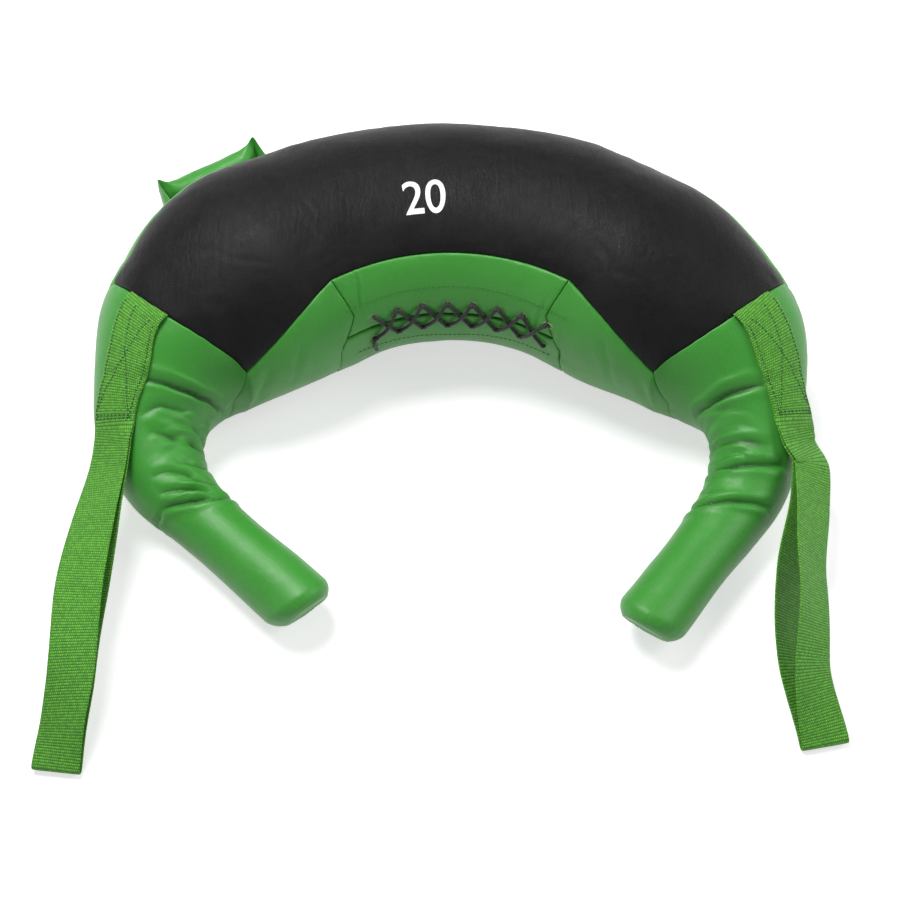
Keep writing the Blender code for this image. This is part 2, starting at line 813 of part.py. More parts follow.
def add_tab(shop, side):
    """The two plies of webbing that are sewn flat on the shoulder."""
    runs = spread(0.0, TAB_LENGTH, TAB_STEPS)
    acrosses = spread(-WEBBING_WIDTH / 2, WEBBING_WIDTH / 2, TAB_STEPS)
    walls = []
    for lift in (TAB_LIFT + 2 * WEBBING + GAP, TAB_LIFT):
        walls.append([[tab_point(side, run, across, lift) for across in acrosses] for run in runs])
    mesh_object(shop, f"{side}_strap_tab", skin_between(*walls, False), "webbing_green")


def root_turn():
    """The radius of the loop's tight turn at its sewn end, in the middle of the webbing."""
    return WEBBING / 2 + GAP


def loop_root(side):
    """Where the loop begins, the way it leaves the tab, and its across direction."""
    lift = TAB_LIFT + WEBBING + GAP / 2
    edge = TAB_LENGTH + SEAM_GAP + WEBBING / 2
    root = tab_point(side, edge, 0.0, lift)
    leave = (root - tab_point(side, TAB_LENGTH, 0.0, lift)).normalized()
    half = WEBBING_WIDTH / 2
    across = tab_point(side, edge, -half, lift) - tab_point(side, edge, half, lift)
    return root, leave, across.normalized() * -SIDES[side]


def loop_route(side):
    """Reads the loop's middle surface, from its share of the way and its place across."""
    sign = SIDES[side]
    root, _, _ = loop_root(side)
    knots = LOOP_ROUTE_SHARES[side]

    def read(t, column):
        return LOOP_REACH[side] * smooth_curve([(knot[0], knot[column]) for knot in knots], t)

    def middle(t):
        return Vector((root.x + sign * read(t, 1), root.y - read(t, 2), read(t, 3)))

    def at(t, across):
        heading = middle(t + LOOP_NOSE) - middle(t - LOOP_NOSE)
        level = Vector((-heading.y, heading.x, 0.0)).normalized()
        up = heading.cross(level).normalized()
        roll = math.radians(smooth_curve(LOOP_ROLL_SHARES[side], t))
        rolled = level * math.cos(roll) - up * sign * math.sin(roll)
        crease = LOOP_CREASE[side] * smooth_curve(LOOP_CREASE_SHARES, t)
        lag = crease * across * sign / heading.length * 2 * LOOP_NOSE
        fall = Vector((0.0, 0.0, read(t + lag, 3) - read(t, 3)))
        return middle(t) + rolled * across + fall, heading.cross(rolled).normalized()

    return at


def loop_outline(side, length):
    """The loop from the side: points (along its middle line, above it), once round."""
    root, nose = root_turn(), LOOP_NOSE
    over = []
    for share in spread(0.0, 1.0, LOOP_STEPS):
        slack = LOOP_SPREAD[side] / 2 * math.sin(math.pi * share**LOOP_SLACK_SHARE_POWER) ** 2
        thickness = root + (nose - root) * share
        over.append((root + (length - root - nose) * share, thickness + slack))
    under = [(run, -rise) for run, rise in over[::-1]]
    turns = spread(0.0, TURN / 2, 2 * NOSE_STEPS)[1:-1]
    far = [(length - nose + nose * math.sin(turn), nose * math.cos(turn)) for turn in turns]
    near = [(root - root * math.sin(turn), -root * math.cos(turn)) for turn in turns]
    return over + far + under + near


def loop_lines(side):
    """Lines across the webbing, edge to edge, one after another round the loop."""
    at = loop_route(side)
    places = [at(t, 0.0)[0] for t in spread(0.0, 1.0, LOOP_STEPS)]
    length = sum((after - before).length for before, after in zip(places, places[1:]))
    acrosses = spread(WEBBING_WIDTH / 2, -WEBBING_WIDTH / 2, LOOP_COLUMNS)
    lines = []
    for run, rise in loop_outline(side, length):
        row = [at(run / length, across) for across in acrosses]
        lines.append([place - up * rise for place, up in row])
    return lines


def add_loop(shop, side):
    """The hanging loop: one strip of webbing that runs out, turns over and comes back."""
    lines = loop_lines(side)
    sections = []
    for i, line in enumerate(lines):
        before, after = lines[i - 1], lines[(i + 1) % len(lines)]
        run = sum((there - here for here, there in zip(before, after)), Vector())
        out = (line[0] - line[-1]).cross(run).normalized() * WEBBING / 2
        sections.append([place + out for place in line] + [place - out for place in line[::-1]])
    root, leave, _ = loop_root(side)
    carrier = shop.carrier(f"{side}_strap_swing", root + leave * root_turn())
    mesh_object(shop, f"{side}_strap_loop", endless_band(sections), "webbing_green", carrier)


def handle_reach():
    """Half the handle's length, brought in from the rim to the centre line."""
    return HANDLE_LENGTH / 2 * CROWN_RADIUS / (CROWN_RADIUS + CROWN_HALF_WIDTH)


def handle_frame(side):
    """The hinge line's middle, its direction, and the way the handle stands off."""
    station = SIDES[side] * HANDLE_STATION[side]
    lift = LEATHER + 2 * GAP + HANDLE_NECK
    reach = handle_reach()
    ends = [skin_point(station + offset, TURN / 2, -lift) for offset in (-reach, reach)]
    line = (ends[1] - ends[0]).normalized()
    out = Vector((line.y, -line.x, 0.0))
    if out.dot(inward(station)) > 0:
        out = -out
    return (ends[0] + ends[1]) / 2, line, out, (ends[1] - ends[0]).length


def handle_stations():
    """Shares along and off the hinge line, with the half width and half thickness there."""
    neck = (HANDLE_NECK, HANDLE_NECK)
    flare = (HANDLE_FLARE, HANDLE_NECK)
    roll = (HANDLE_RADIUS, HANDLE_RADIUS)
    sizes = (neck, neck, flare, flare, roll, roll, roll)
    half = [(*place, *size) for place, size in zip(zip(HANDLE_RUN_SHARES, HANDLE_RISE_SHARES), sizes)]
    return half + [(-run, rise, width, thick) for run, rise, width, thick in half[-2::-1]]


def ring_about(centre, first, second, width, thick):
    """An oval ring of a handle, with its half width and half thickness."""
    ring = []
    for angle in spread(0.0, TURN, HANDLE_SIDES)[:-1]:
        ring.append(centre + first * width * math.cos(angle) + second * thick * math.sin(angle))
    return ring


def add_handle(shop, side):
    """The leather roll, flared where it bends down to round knuckles on the hinge line."""
    middle, line, out, length = handle_frame(side)
    carrier = shop.carrier(f"{side}_handle_flop", middle)
    flop = HANDLE_FLOP[side]
    away = out * math.cos(flop) + Vector((0.0, 0.0, math.sin(flop)))
    wide = away.cross(line)
    stations = handle_stations()
    centres = [middle + line * run * length + away * rise * HANDLE_STANDOFF for run, rise, _, _ in stations]
    runs = [after - before for before, after in zip(centres, centres[2:])]
    rings = []
    for centre, run, (_, _, width, thick) in zip(centres, [away, *runs, -away], stations):
        rings.append(ring_about(centre, wide, run.cross(wide).normalized(), width, thick))
    for turn in spread(0.0, TURN / 4, KNUCKLE_STEPS)[1:-1]:
        drop = away * HANDLE_NECK * math.sin(turn)
        radius = HANDLE_NECK * math.cos(turn)
        rings.insert(0, ring_about(centres[0] - drop, wide, away.cross(wide), radius, radius))
        rings.append(ring_about(centres[-1] - drop, wide, wide.cross(away), radius, radius))
    mesh = plug(rings, centres[0] - away * HANDLE_NECK, centres[-1] - away * HANDLE_NECK)
    mesh_object(shop, f"{side}_side_handle", mesh, "leather_green", carrier)


def add_feet(shop, side):
    """The two flat ends of the handle's leather, sewn on the rim."""
    sign = SIDES[side]
    for name, way in (("rear", -1), ("front", 1)):
        centre = HANDLE_STATION[side] + way * handle_reach()
        stations = spread(centre - FOOT_LENGTH / 2, centre + FOOT_LENGTH / 2, FOOT_STEPS)
        turn = FOOT_WIDTH / 2 / half_height(centre)
        angles = spread(TURN / 2 - turn, TURN / 2 + turn, FOOT_STEPS)
        walls = []
        for lift in (GAP + LEATHER, GAP):
            walls.append([[skin_point(sign * s, angle, -lift) for angle in angles] for s in stations])
        name = f"{side}_handle_{name}_foot"
        mesh_object(shop, name, skin_between(*walls, False), "leather_green")


def centre_over_origin(shop):
    """Moves the whole bag so that its outline is centred over the origin."""
    bpy.context.view_layer.update()
    graph = bpy.context.evaluated_depsgraph_get()
    points = []
    for thing in shop.parts.objects:
        if thing.type == "EMPTY":
            continue
        evaluated = thing.evaluated_get(graph)
        mesh = evaluated.to_mesh()
        points += [evaluated.matrix_world @ vertex.co for vertex in mesh.vertices]
        evaluated.to_mesh_clear()
    middle = [(min(p[i] for p in points) + max(p[i] for p in points)) / 2 for i in range(2)]
    shop.bag.location = (-middle[0], -middle[1], 0.0)


def build():
    clear_scene()
    shop = Workshop()
    add_body_panels(shop)
    add_flaps(shop)
    add_gusset(shop)
    add_lace(shop)
    add_padding(shop)
    add_sandbags(shop)
    for side in SIDES:
        add_shoulder(shop, side)
        add_neck_stuffing(shop, side)
        add_sleeve(shop, side)
        add_grip(shop, side)
        add_tab(shop, side)
        add_loop(shop, side)
        add_feet(shop, side)
        add_handle(shop, side)
    centre_over_origin(shop)


build()
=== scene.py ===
# %% [markdown]
# A bulgarian bag is a crescent of leather packed with wool and sandbags. It is swung by its two
# grips, by the webbing loops on its shoulders or by the leather handles on its outer rim. This
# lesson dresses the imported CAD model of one. The CAD model is loaded first, as a fixed frame: it
# says where each piece is and which body it moves with, and nothing here changes its sizes.

import json
import math

import bmesh
import bpy
import numpy as np
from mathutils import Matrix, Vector


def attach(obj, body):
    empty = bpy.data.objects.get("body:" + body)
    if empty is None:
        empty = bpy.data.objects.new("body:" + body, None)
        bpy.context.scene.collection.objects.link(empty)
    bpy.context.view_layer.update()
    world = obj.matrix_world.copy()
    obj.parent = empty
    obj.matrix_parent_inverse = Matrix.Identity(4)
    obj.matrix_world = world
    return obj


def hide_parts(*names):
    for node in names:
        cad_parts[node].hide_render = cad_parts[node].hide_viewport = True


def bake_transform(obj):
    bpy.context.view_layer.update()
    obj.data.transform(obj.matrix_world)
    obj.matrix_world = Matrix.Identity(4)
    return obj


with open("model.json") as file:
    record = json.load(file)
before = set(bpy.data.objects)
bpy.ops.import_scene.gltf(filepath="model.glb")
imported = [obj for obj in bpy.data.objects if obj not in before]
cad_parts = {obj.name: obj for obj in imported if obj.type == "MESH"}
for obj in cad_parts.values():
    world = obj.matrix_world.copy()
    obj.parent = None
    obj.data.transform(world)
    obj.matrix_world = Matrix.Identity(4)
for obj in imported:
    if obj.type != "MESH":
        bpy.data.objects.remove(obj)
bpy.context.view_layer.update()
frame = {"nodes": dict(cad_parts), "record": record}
base = next(mount for mount in frame["record"]["mounts"] if mount["name"] == "base")
CROWN = np.array(base["pos_m"])
print("frame of", len(frame["nodes"]), "pieces, crown line at", CROWN)

# %% [markdown]
# The bag's skin follows a rule, so every piece of leather can be laid out in the same three
# numbers. The station is the length along the middle of the bag from the crown, below zero on
# the left. The angle runs round the section: zero faces the neck space, a quarter turn is up.
# The lift is measured outwards from the skin. The plain skin is the CAD model's own, so a piece
# made from it fits the solid that it dresses, apart from its folds, dips and bulges. It could
# also be sculpted by hand, but then the seams, the webbing and the lace would each have to be
# fitted to it again.

# %% The bag's skin
CROWN_RADIUS, CROWN_TURN = 0.256, math.radians(30)
SHOULDER_RADIUS, SHOULDER_LENGTH = 0.490, 0.132
ELBOW_RADIUS = np.array([0.098, 0.1145])
ELBOW_TURN = np.radians([90, 80])
GRIP_LENGTH = {"left": 0.128, "right": 0.118}
GRIP_RADIUS = 0.0295
CROWN_HALF_WIDTH = 0.1033
ELBOW_START = CROWN_RADIUS * CROWN_TURN + SHOULDER_LENGTH
END_SEAM = ELBOW_START + 0.024
SLEEVE_START = ELBOW_START + 0.129
GRIP_START = SLEEVE_START + 0.057
HALF_WIDTHS = (
    (0.0, CROWN_HALF_WIDTH),
    (ELBOW_START - 0.091, CROWN_HALF_WIDTH),
    (END_SEAM, 0.0785),
    (SLEEVE_START, 0.0385),
    (GRIP_START, GRIP_RADIUS),
)
FLATNESS, FLAT_DEPTH = 0.106, 0.0046
SIDES = {"left": -1, "right": 1}


def smooth_curve(knots, at):
    """Reads a smooth curve through (place, value) knots that never swings past them."""
    places, values = np.array(knots, float).T
    gaps = np.diff(places)
    rises = np.diff(values) / gaps
    both = rises[:-1] * rises[1:]
    slopes = np.zeros(len(values))
    slopes[1:-1] = np.where(both > 0, 2 * both / np.where(both > 0, rises[:-1] + rises[1:], 1), 0)
    at = np.clip(at, places[0], places[-1])
    i = np.clip(np.searchsorted(places, at, side="right") - 1, 0, len(gaps) - 1)
    t = (at - places[i]) / gaps[i]
    start = (2 * t**3 - 3 * t**2 + 1) * values[i] + (t**3 - 2 * t**2 + t) * gaps[i] * slopes[i]
    return start + (3 * t**2 - 2 * t**3) * values[i + 1] + (t**3 - t**2) * gaps[i] * slopes[i + 1]


def spine(station):
    """The centre line's place and heading, with -1 on the left and 1 on the right."""
    station = np.asarray(station, float)
    sign = np.where(station < 0, -1.0, 1.0)
    elbow = ELBOW_RADIUS[(station >= 0).astype(int)]
    turn = ELBOW_TURN[(station >= 0).astype(int)]
    x = y = heading = np.zeros(station.shape)
    left = np.abs(station)
    crown = (CROWN_RADIUS, CROWN_RADIUS * CROWN_TURN)
    for radius, length in (crown, (SHOULDER_RADIUS, SHOULDER_LENGTH), (elbow, elbow * turn)):
        step = np.minimum(left, length)
        turned = heading + step / radius
        x = x + radius * (np.sin(turned) - np.sin(heading))
        y = y - radius * (np.cos(heading) - np.cos(turned))
        heading, left = turned, left - step
    return sign * (x + left * np.cos(heading)), y - left * np.sin(heading), heading, sign


def half_width(station):
    return smooth_curve(HALF_WIDTHS, np.abs(station))


def fullness(station):
    return (half_width(station) - GRIP_RADIUS) / (CROWN_HALF_WIDTH - GRIP_RADIUS)


def half_height(station):
    return half_width(station) * (1 - FLATNESS * fullness(station))


def skin(station, angle, lift=0.0):
    """Points this far outside the skin; the floor flattens the underside."""
    station, angle, lift = np.broadcast_arrays(np.asarray(station, float), angle, lift)
    x, y, heading, sign = spine(station)
    reach = (half_width(station) + lift) * np.cos(angle)
    middle = half_height(station) - FLAT_DEPTH * fullness(station)
    height = middle + (half_height(station) + lift) * np.sin(angle)
    height = np.maximum(height, np.maximum(-lift, 0.0))
    place = [x - sign * np.sin(heading) * reach, y - np.cos(heading) * reach, height]
    return np.stack(place, -1) + CROWN


print("skin: crown at", skin(0.0, math.pi / 2).round(3), "left grip ends at", skin(-0.58, 0.0).round(3))

# %% [markdown]
# Real leather isn't a perfect tube. It swells between its seams, dips where a seam pulls it in,
# and folds where the bag bends, most of all in the crook of each neck. All of that is one
# relief over the skin, read by every piece that lies on it, so that webbing and lace rise and
# fall with the leather below. A fold is a line of stations and angles with a depth and a width.
# Cloth simulation could also crumple the necks, but the folds of the real bag lie at known
# places, and drawn folds put them there each time.

# %% Soft noise and folds
NECK_FOLDS = {
    "left": (
        (((343, 96), (346, 64), (347, 34), (333, 4), (322, -14)), 5.2, 3.1),
        (((368, 97), (364, 74), (365, 50), (360, 36)), 2.6, 2.9),
        (((381, 96), (390, 66), (400, 28), (402, 6)), 3.2, 3.3),
        (((375, 40), (383, 18), (384, -8), (378, -28)), 3.2, 2.9),
        (((411, 118), (416, 95), (423, 77), (434, 64), (442, 44), (443, 22)), 2.8, 2.6),
        (((427, 92), (434, 73), (441, 53)), 1.6, 1.7),
        (((423, 130), (432, 106), (441, 84), (451, 62), (455, 36)), 3.8, 2.4),
        (((427, 150), (433, 138), (442, 117), (450, 97), (458, 61), (460, 28), (458, -6)), 4.3, 2.6),
        (((430, 129), (439, 100)), 1.3, 1.3),
        (((436, 120), (445, 90)), 1.3, 1.3),
        (((430, 145), (431, 159), (429, 185), (432, 204)), 1.7, 2.2),
        (((413, 78), (423, 34), (420, 6), (412, -14)), 2.3, 2.4),
        (((355, 16), (362, -6), (360, -30)), 2.0, 2.8),
    ),
    "right": (
        (((348, 94), (349, 61), (351, 33), (344, 4)), 4.9, 3.1),
        (((361, 66), (361, 46), (354, 19)), 2.2, 2.4),
        (((380, 66), (382, 53), (381, 26), (375, 6)), 2.2, 2.4),
        (((389, 108), (391, 68), (391, 32), (386, 2)), 3.2, 2.8),
        (((407, 88), (404, 72), (409, 42), (406, 16)), 2.3, 2.2),
        (((393, 146), (402, 119), (413, 72), (418, 33), (414, 0)), 4.1, 2.8),
        (((420, 70), (427, 35), (426, 10)), 2.0, 2.0),
        (((424, 152), (437, 112), (449, 77), (456, 44), (458, 12), (452, -16)), 4.3, 2.6),
        (((436, 72), (441, 46), (440, 22)), 1.4, 1.7),
    ),
}
BODY_FOLDS = (
    (((-140, 84), (-138, 70)), 0.36, 1.8),
    (((-151, 73), (-145, 56)), 0.47, 2.0),
    (((-270, 108), (-243, 97), (-224, 80)), 0.53, 2.9),
    (((-226, 82), (-224, 76), (-211, 68), (-194, 59)), 0.47, 2.0),
    (((-224, 82), (-238, 74), (-253, 64)), 0.47, 1.1),
    (((-168, 46), (-131, 47), (-107, 47)), 0.42, 2.4),
    (((-170, 50), (-136, 53)), 0.36, 2.2),
    (((-256, 43), (-241, 33), (-221, 28)), 0.53, 2.9),
    (((-266, 79), (-246, 69)), 0.36, 2.2),
    (((150, 66), (190, 54), (216, 57)), 0.42, 2.6),
    (((226, 44), (246, 36), (262, 40)), 0.53, 3.1),
    (((200, 84), (232, 74)), 0.36, 2.4),
    (((-121, 46), (-122, 39), (-127, 25), (-131, 12)), 1.5, 1.8),
    (((-196, 27), (-214, 8), (-225, -14)), 0.9, 4.0),
    (((-243, 12), (-256, -4), (-262, -26)), 1.2, 4.5),
    (((204, 24), (220, 6), (228, -16)), 0.9, 4.0),
    (((252, 8), (266, -8), (270, -28)), 1.2, 4.5),
    (((136, 28), (131, 12), (128, -2)), 0.8, 2.6),
)
PRIMES = (73856093, 19349663, 83492791)


def soft_noise(points, size, seed):
    """Smooth random values from -1 to 1 in space, always the same at the same place."""
    place = points / size + seed * 17.31
    cell = np.floor(place).astype(np.int64)
    share = place - cell
    share = share * share * share * (share * (share * 6 - 15) + 10)
    total = np.zeros(points.shape[:-1])
    for corner in np.ndindex(2, 2, 2):
        at = (cell + corner) * PRIMES
        mixed = (at[..., 0] ^ at[..., 1] ^ at[..., 2] ^ (seed * 40503)) & 0xFFFFFF
        mixed = (mixed * 1664525 + 1013904223) & 0xFFFFFFFF
        mixed = ((mixed ^ (mixed >> 15)) * 22695477) & 0xFFFFFFFF
        weight = np.where(corner, share, 1 - share).prod(-1)
        total += (mixed / 0x7FFFFFFF - 1) * weight
    return total


def fold_depth(station, angle, line, depth, width):
    """How deep one fold is at each place; it is full in its middle and dies away at its ends."""
    line = np.array(line, float) * (0.001, math.pi / 180)
    radius = float(half_height(line[:, 0]).mean())
    line = line * (1, radius)
    place = np.stack([station, angle * radius], -1)
    total = np.zeros(station.shape)
    reach = 6 * width
    near = ((place > line.min(0) - reach) & (place < line.max(0) + reach)).all(-1)
    if not near.any():
        return total
    place = place[near]
    runs = np.diff(line, axis=0)
    lengths = np.hypot(*runs.T)
    best = np.full(len(place), 1e9)
    share = np.zeros(len(place))
    for start, run, length, before in zip(line, runs, lengths, np.cumsum(lengths) - lengths):
        along = np.clip(((place - start) @ run) / length**2, 0, 1)
        away = np.hypot(*(place - start - along[:, None] * run).T)
        share = np.where(away < best, (before + along * length) / lengths.sum(), share)
        best = np.minimum(best, away)
    full = np.sin(math.pi * np.clip(share, 0.0, 1.0)) ** 0.55
    valley = 0.55 * np.exp(-((best / width) ** 1.6)) + 0.45 * np.exp(-best / (0.42 * width))
    ridge = 0.42 * np.exp(-(((best - 2.3 * width) / (1.25 * width)) ** 2))
    total[near] = depth * full * (valley - ridge)
    return total


counts = {side: len(folds) for side, folds in NECK_FOLDS.items()}
print("folds:", counts, "and", len(BODY_FOLDS), "on the body")

# %% The relief of the leather
CALM_SPOTS = ((-0.375, 109), (0.375, 109), (-0.158, 180), (0.190, 180))
FOOT_SPOTS = (-0.214, -0.102, 0.134, 0.246)
SEWN_REACH, LACED_REACH = 0.036, 0.16
SWELLS = ((0.0013, 0.085), (0.0006, 0.038), (0.00016, 0.012))
CROOK_AT, CROOK_REACH = 0.395, 0.036
GATHER_PITCH, GATHER_HEIGHT = 0.0115, 0.0021
CRINKLE_AT, CRINKLE_REACH, CRINKLE_DEPTH = 0.405, 0.055, 0.0011
# A bulge has a station in mm, an angle in degrees, a height in mm, and its reach along and round.
BULGES = (
    (-210, 146, 10.5, 85, 60), (-317, 172, -15.0, 36, 46), (334, 182, -14.5, 44, 44),
    (352, -34, -12.0, 42, 42), (165, -38, 4.5, 55, 32), (-140, -40, 3.0, 35, 28),
    (165, 145, -2.5, 50, 45), (-335, -20, -4.0, 46, 30), (272, 160, 2.5, 40, 50),
    (-480, 15, -2.6, 70, 55), (-430, 195, 2.0, 40, 55), (490, 15, -3.2, 70, 55),
    (440, 200, 4.5, 40, 50),
)


def calm(station, angle):
    """Near one where hardware is sewn on, so that the leather keeps still there."""
    total = np.zeros(np.broadcast(station, angle).shape)
    for spot, degrees in CALM_SPOTS:
        across = (angle - math.radians(degrees)) * half_height(station)
        total = np.maximum(total, np.exp(-(((station - spot) ** 2 + across**2) / SEWN_REACH**2)))
    laced = np.exp(-(((angle - math.radians(3)) / 0.28) ** 2)) * (np.abs(station) < LACED_REACH)
    return np.maximum(total, laced)


def bulging(station, angle):
    """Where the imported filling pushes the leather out, or leaves it slack, over a wide area."""
    total = np.zeros(station.shape)
    for at, degrees, height, along, around in BULGES:
        turn = (angle - math.radians(degrees) + math.pi) % math.tau - math.pi
        across = turn * half_height(station) / (around / 1000)
        total += height / 1000 * np.exp(-(((station - at / 1000) / (along / 1000)) ** 2) - across**2)
    for spot in FOOT_SPOTS:
        across = ((angle % math.tau) - math.pi) * half_height(station)
        total *= 1 - 0.85 * np.exp(-(((station - spot) ** 2 + across**2) / SEWN_REACH**2))
    return total


def folding(station, angle):
    """How deep the folds are at each point, in metres, and the point's station once warped."""
    station, angle = np.broadcast_arrays(np.asarray(station, float), angle)
    angle = (angle + math.pi / 2) % math.tau - math.pi / 2
    place = skin(station, angle)
    warped = station + 0.0016 * soft_noise(place, 0.017, 4)
    turned = angle + 0.0016 * soft_noise(place, 0.017, 5) / half_height(station)
    depth = np.zeros(station.shape)
    for line, deep, wide in BODY_FOLDS:
        depth += fold_depth(warped, turned, line, deep / 1000, wide / 1000)
    for side, sign in SIDES.items():
        for line, deep, wide in NECK_FOLDS[side]:
            line = [(sign * at, degrees) for at, degrees in line]
            depth += fold_depth(warped, turned, line, deep / 1000, wide / 1000)
    return depth, warped, turned


def relief(station, angle):
    """How far the leather stands outside the plain skin, in metres."""
    station, angle = np.broadcast_arrays(np.asarray(station, float), angle)
    angle = (angle + math.pi / 2) % math.tau - math.pi / 2
    place = skin(station, angle)
    slim = np.clip((np.abs(station) - 0.30) / 0.12, 0, 1)
    still = calm(station, angle)
    swell = sum(high * soft_noise(place, size, seed) for seed, (high, size) in enumerate(SWELLS, 1))
    swell *= (1 - 0.35 * slim) * (1 - 0.9 * still)
    depth, warped, turned = folding(station, angle)
    far = np.abs(warped)
    crook = np.exp(-(((far - CROOK_AT) / CROOK_REACH) ** 2)) * np.clip(np.cos(turned) + 0.15, 0, 1)
    wave = math.pi * far / GATHER_PITCH + 2.2 * soft_noise(place, 0.03, 6)
    gathers = np.abs(np.sin(wave)) - 0.6
    crinkled = np.exp(-(((far - CRINKLE_AT) / CRINKLE_REACH) ** 2))
    crinkled = crinkled * np.clip(np.cos(turned - 0.7), 0, 1) * (1 - still)
    drawn = np.stack([far, turned * 0.016, np.sign(station) * 0.3], -1)
    fine = np.maximum(soft_noise(drawn, 0.0042, 7), 0) ** 2
    wide = bulging(station, angle) + swell - depth
    return wide + GATHER_HEIGHT * crook * gathers - CRINKLE_DEPTH * crinkled * fine


def leather(station, angle, lift=0.0):
    """Points this far outside the leather's own surface."""
    return skin(station, angle, relief(station, angle) + lift)


def unit(vectors):
    return vectors / np.maximum(np.linalg.norm(vectors, axis=-1, keepdims=True), 1e-12)


def facing(station, angle):
    """The outward direction of the plain skin."""
    step = 1e-4
    along = skin(station + step, angle) - skin(station - step, angle)
    around = skin(station, angle + step) - skin(station, angle - step)
    return unit(np.cross(along, around))


probe = 1000 * relief(np.linspace(-0.58, 0.58, 400)[:, None], np.radians(np.arange(0, 360, 6)))
print("relief from", round(float(probe.min()), 2), "to", round(float(probe.max()), 2), "mm")

# %% [markdown]
# Every finish is made of nodes, so that it looks right from close by and has no picture behind
# it. Three effects are used by more than one finish, so each is a node group: the pebbled grain
# of coated leather, the dull and glossy patches that handling leaves, and a plain weave. Each
# material then sets its own colours and sizes. A texture painted by hand would hold less detail
# on a bag this large.

# %% Node helpers
def add_node(tree, kind, inputs=None, **settings):
    """A node with its settings, and its inputs set to values or joined to sockets."""
    made = tree.nodes.new(kind)
    for key, value in settings.items():
        setattr(made, key, value)
    for key, value in (inputs or {}).items():
        if isinstance(value, bpy.types.NodeSocket):
            tree.links.new(value, made.inputs[key])
        else:
            made.inputs[key].default_value = value
    return made


def maths(tree, operation, first, second=0.5, third=0.5):
    inputs = {0: first, 1: second, 2: third}
    return add_node(tree, "ShaderNodeMath", inputs, operation=operation).outputs[0]


def ranged(tree, value, low, high, to_low=0.0, to_high=1.0):
    """The value's share of the way from low to high, smoothed, as a new range."""
    inputs = {"Value": value, "From Min": low, "From Max": high, "To Min": to_low, "To Max": to_high}
    made = add_node(tree, "ShaderNodeMapRange", inputs, interpolation_type="SMOOTHSTEP")
    return made.outputs["Result"]


def new_group(kind, name, inputs, outputs):
    """An empty node group with named sockets, and its input and output nodes."""
    tree = bpy.data.node_groups.new(name, kind)
    for socket, socket_kind, value in inputs:
        made = tree.interface.new_socket(socket, in_out="INPUT", socket_type=socket_kind)
        if value is not None:
            made.default_value = value
    for socket, socket_kind in outputs:
        tree.interface.new_socket(socket, in_out="OUTPUT", socket_type=socket_kind)
    return tree, tree.nodes.new("NodeGroupInput"), tree.nodes.new("NodeGroupOutput")


def use_group(tree, group, inputs):
    return add_node(tree, "ShaderNodeGroup", inputs, node_tree=group)


def vector_maths(tree, operation, inputs):
    return add_node(tree, "ShaderNodeVectorMath", inputs, operation=operation).outputs[0]


def noise(tree, vector, scale, detail, **more):
    inputs = {"Vector": vector, "Scale": scale, "Detail": detail, **more}
    return add_node(tree, "ShaderNodeTexNoise", inputs)


def humps(tree, count):
    """Rises from 0 to 1 and falls again between one whole number and the next."""
    return maths(tree, "ABSOLUTE", maths(tree, "SINE", maths(tree, "MULTIPLY", count, math.pi)))


print("node helpers ready")

# %% Leather grain group
FLOAT, VECTOR = "NodeSocketFloat", "NodeSocketVector"


def cells(tree, vector, scale, edge):
    """Rises from 0 at the borders of Voronoi cells to 1 inside them."""
    inputs = {"Vector": vector, "Scale": scale}
    made = add_node(tree, "ShaderNodeTexVoronoi", inputs, feature="DISTANCE_TO_EDGE")
    return ranged(tree, made.outputs["Distance"], 0.0, edge)


def grain_group():
    """Pebbles between fine cracks, and longer creases; heights run from 0 to 1."""
    inputs = (
        ("Vector", VECTOR, None), ("Grain Size", FLOAT, 0.0011), ("Crease Size", FLOAT, 0.02),
        ("Crease Share", FLOAT, 0.5),
    )
    outputs = (("Height", FLOAT), ("Crack", FLOAT), ("Streak", FLOAT))
    tree, start, end = new_group("ShaderNodeTree", "Leather Grain", inputs, outputs)
    vector = start.outputs["Vector"]
    fine = maths(tree, "DIVIDE", 1.0, start.outputs["Grain Size"])
    long = maths(tree, "DIVIDE", 1.0, start.outputs["Crease Size"])
    bent = noise(tree, vector, long, 2.0).outputs["Color"]
    push = vector_maths(tree, "SUBTRACT", {0: bent, 1: (0.5, 0.5, 0.5)})
    small = vector_maths(tree, "SCALE", {0: push, "Scale": 0.012})
    moved = vector_maths(tree, "ADD", {0: vector, 1: small})
    grain, crease = cells(tree, moved, fine, 0.22), cells(tree, moved, long, 0.05)
    shares = {"Factor": start.outputs["Crease Share"], "A": grain, "B": crease}
    mixed = add_node(tree, "ShaderNodeMix", shares)
    tree.links.new(mixed.outputs["Result"], end.inputs["Height"])
    tree.links.new(maths(tree, "SUBTRACT", 1.0, grain), end.inputs["Crack"])
    drawn = add_node(tree, "ShaderNodeMapping", {"Vector": moved, "Scale": (1.0, 0.10, 0.12)})
    streaks = noise(tree, drawn.outputs[0], 260.0, 2.0)
    tree.links.new(streaks.outputs["Fac"], end.inputs["Streak"])
    return tree


GRAIN = grain_group()
print("group", GRAIN.name, "with", len(GRAIN.nodes), "nodes")

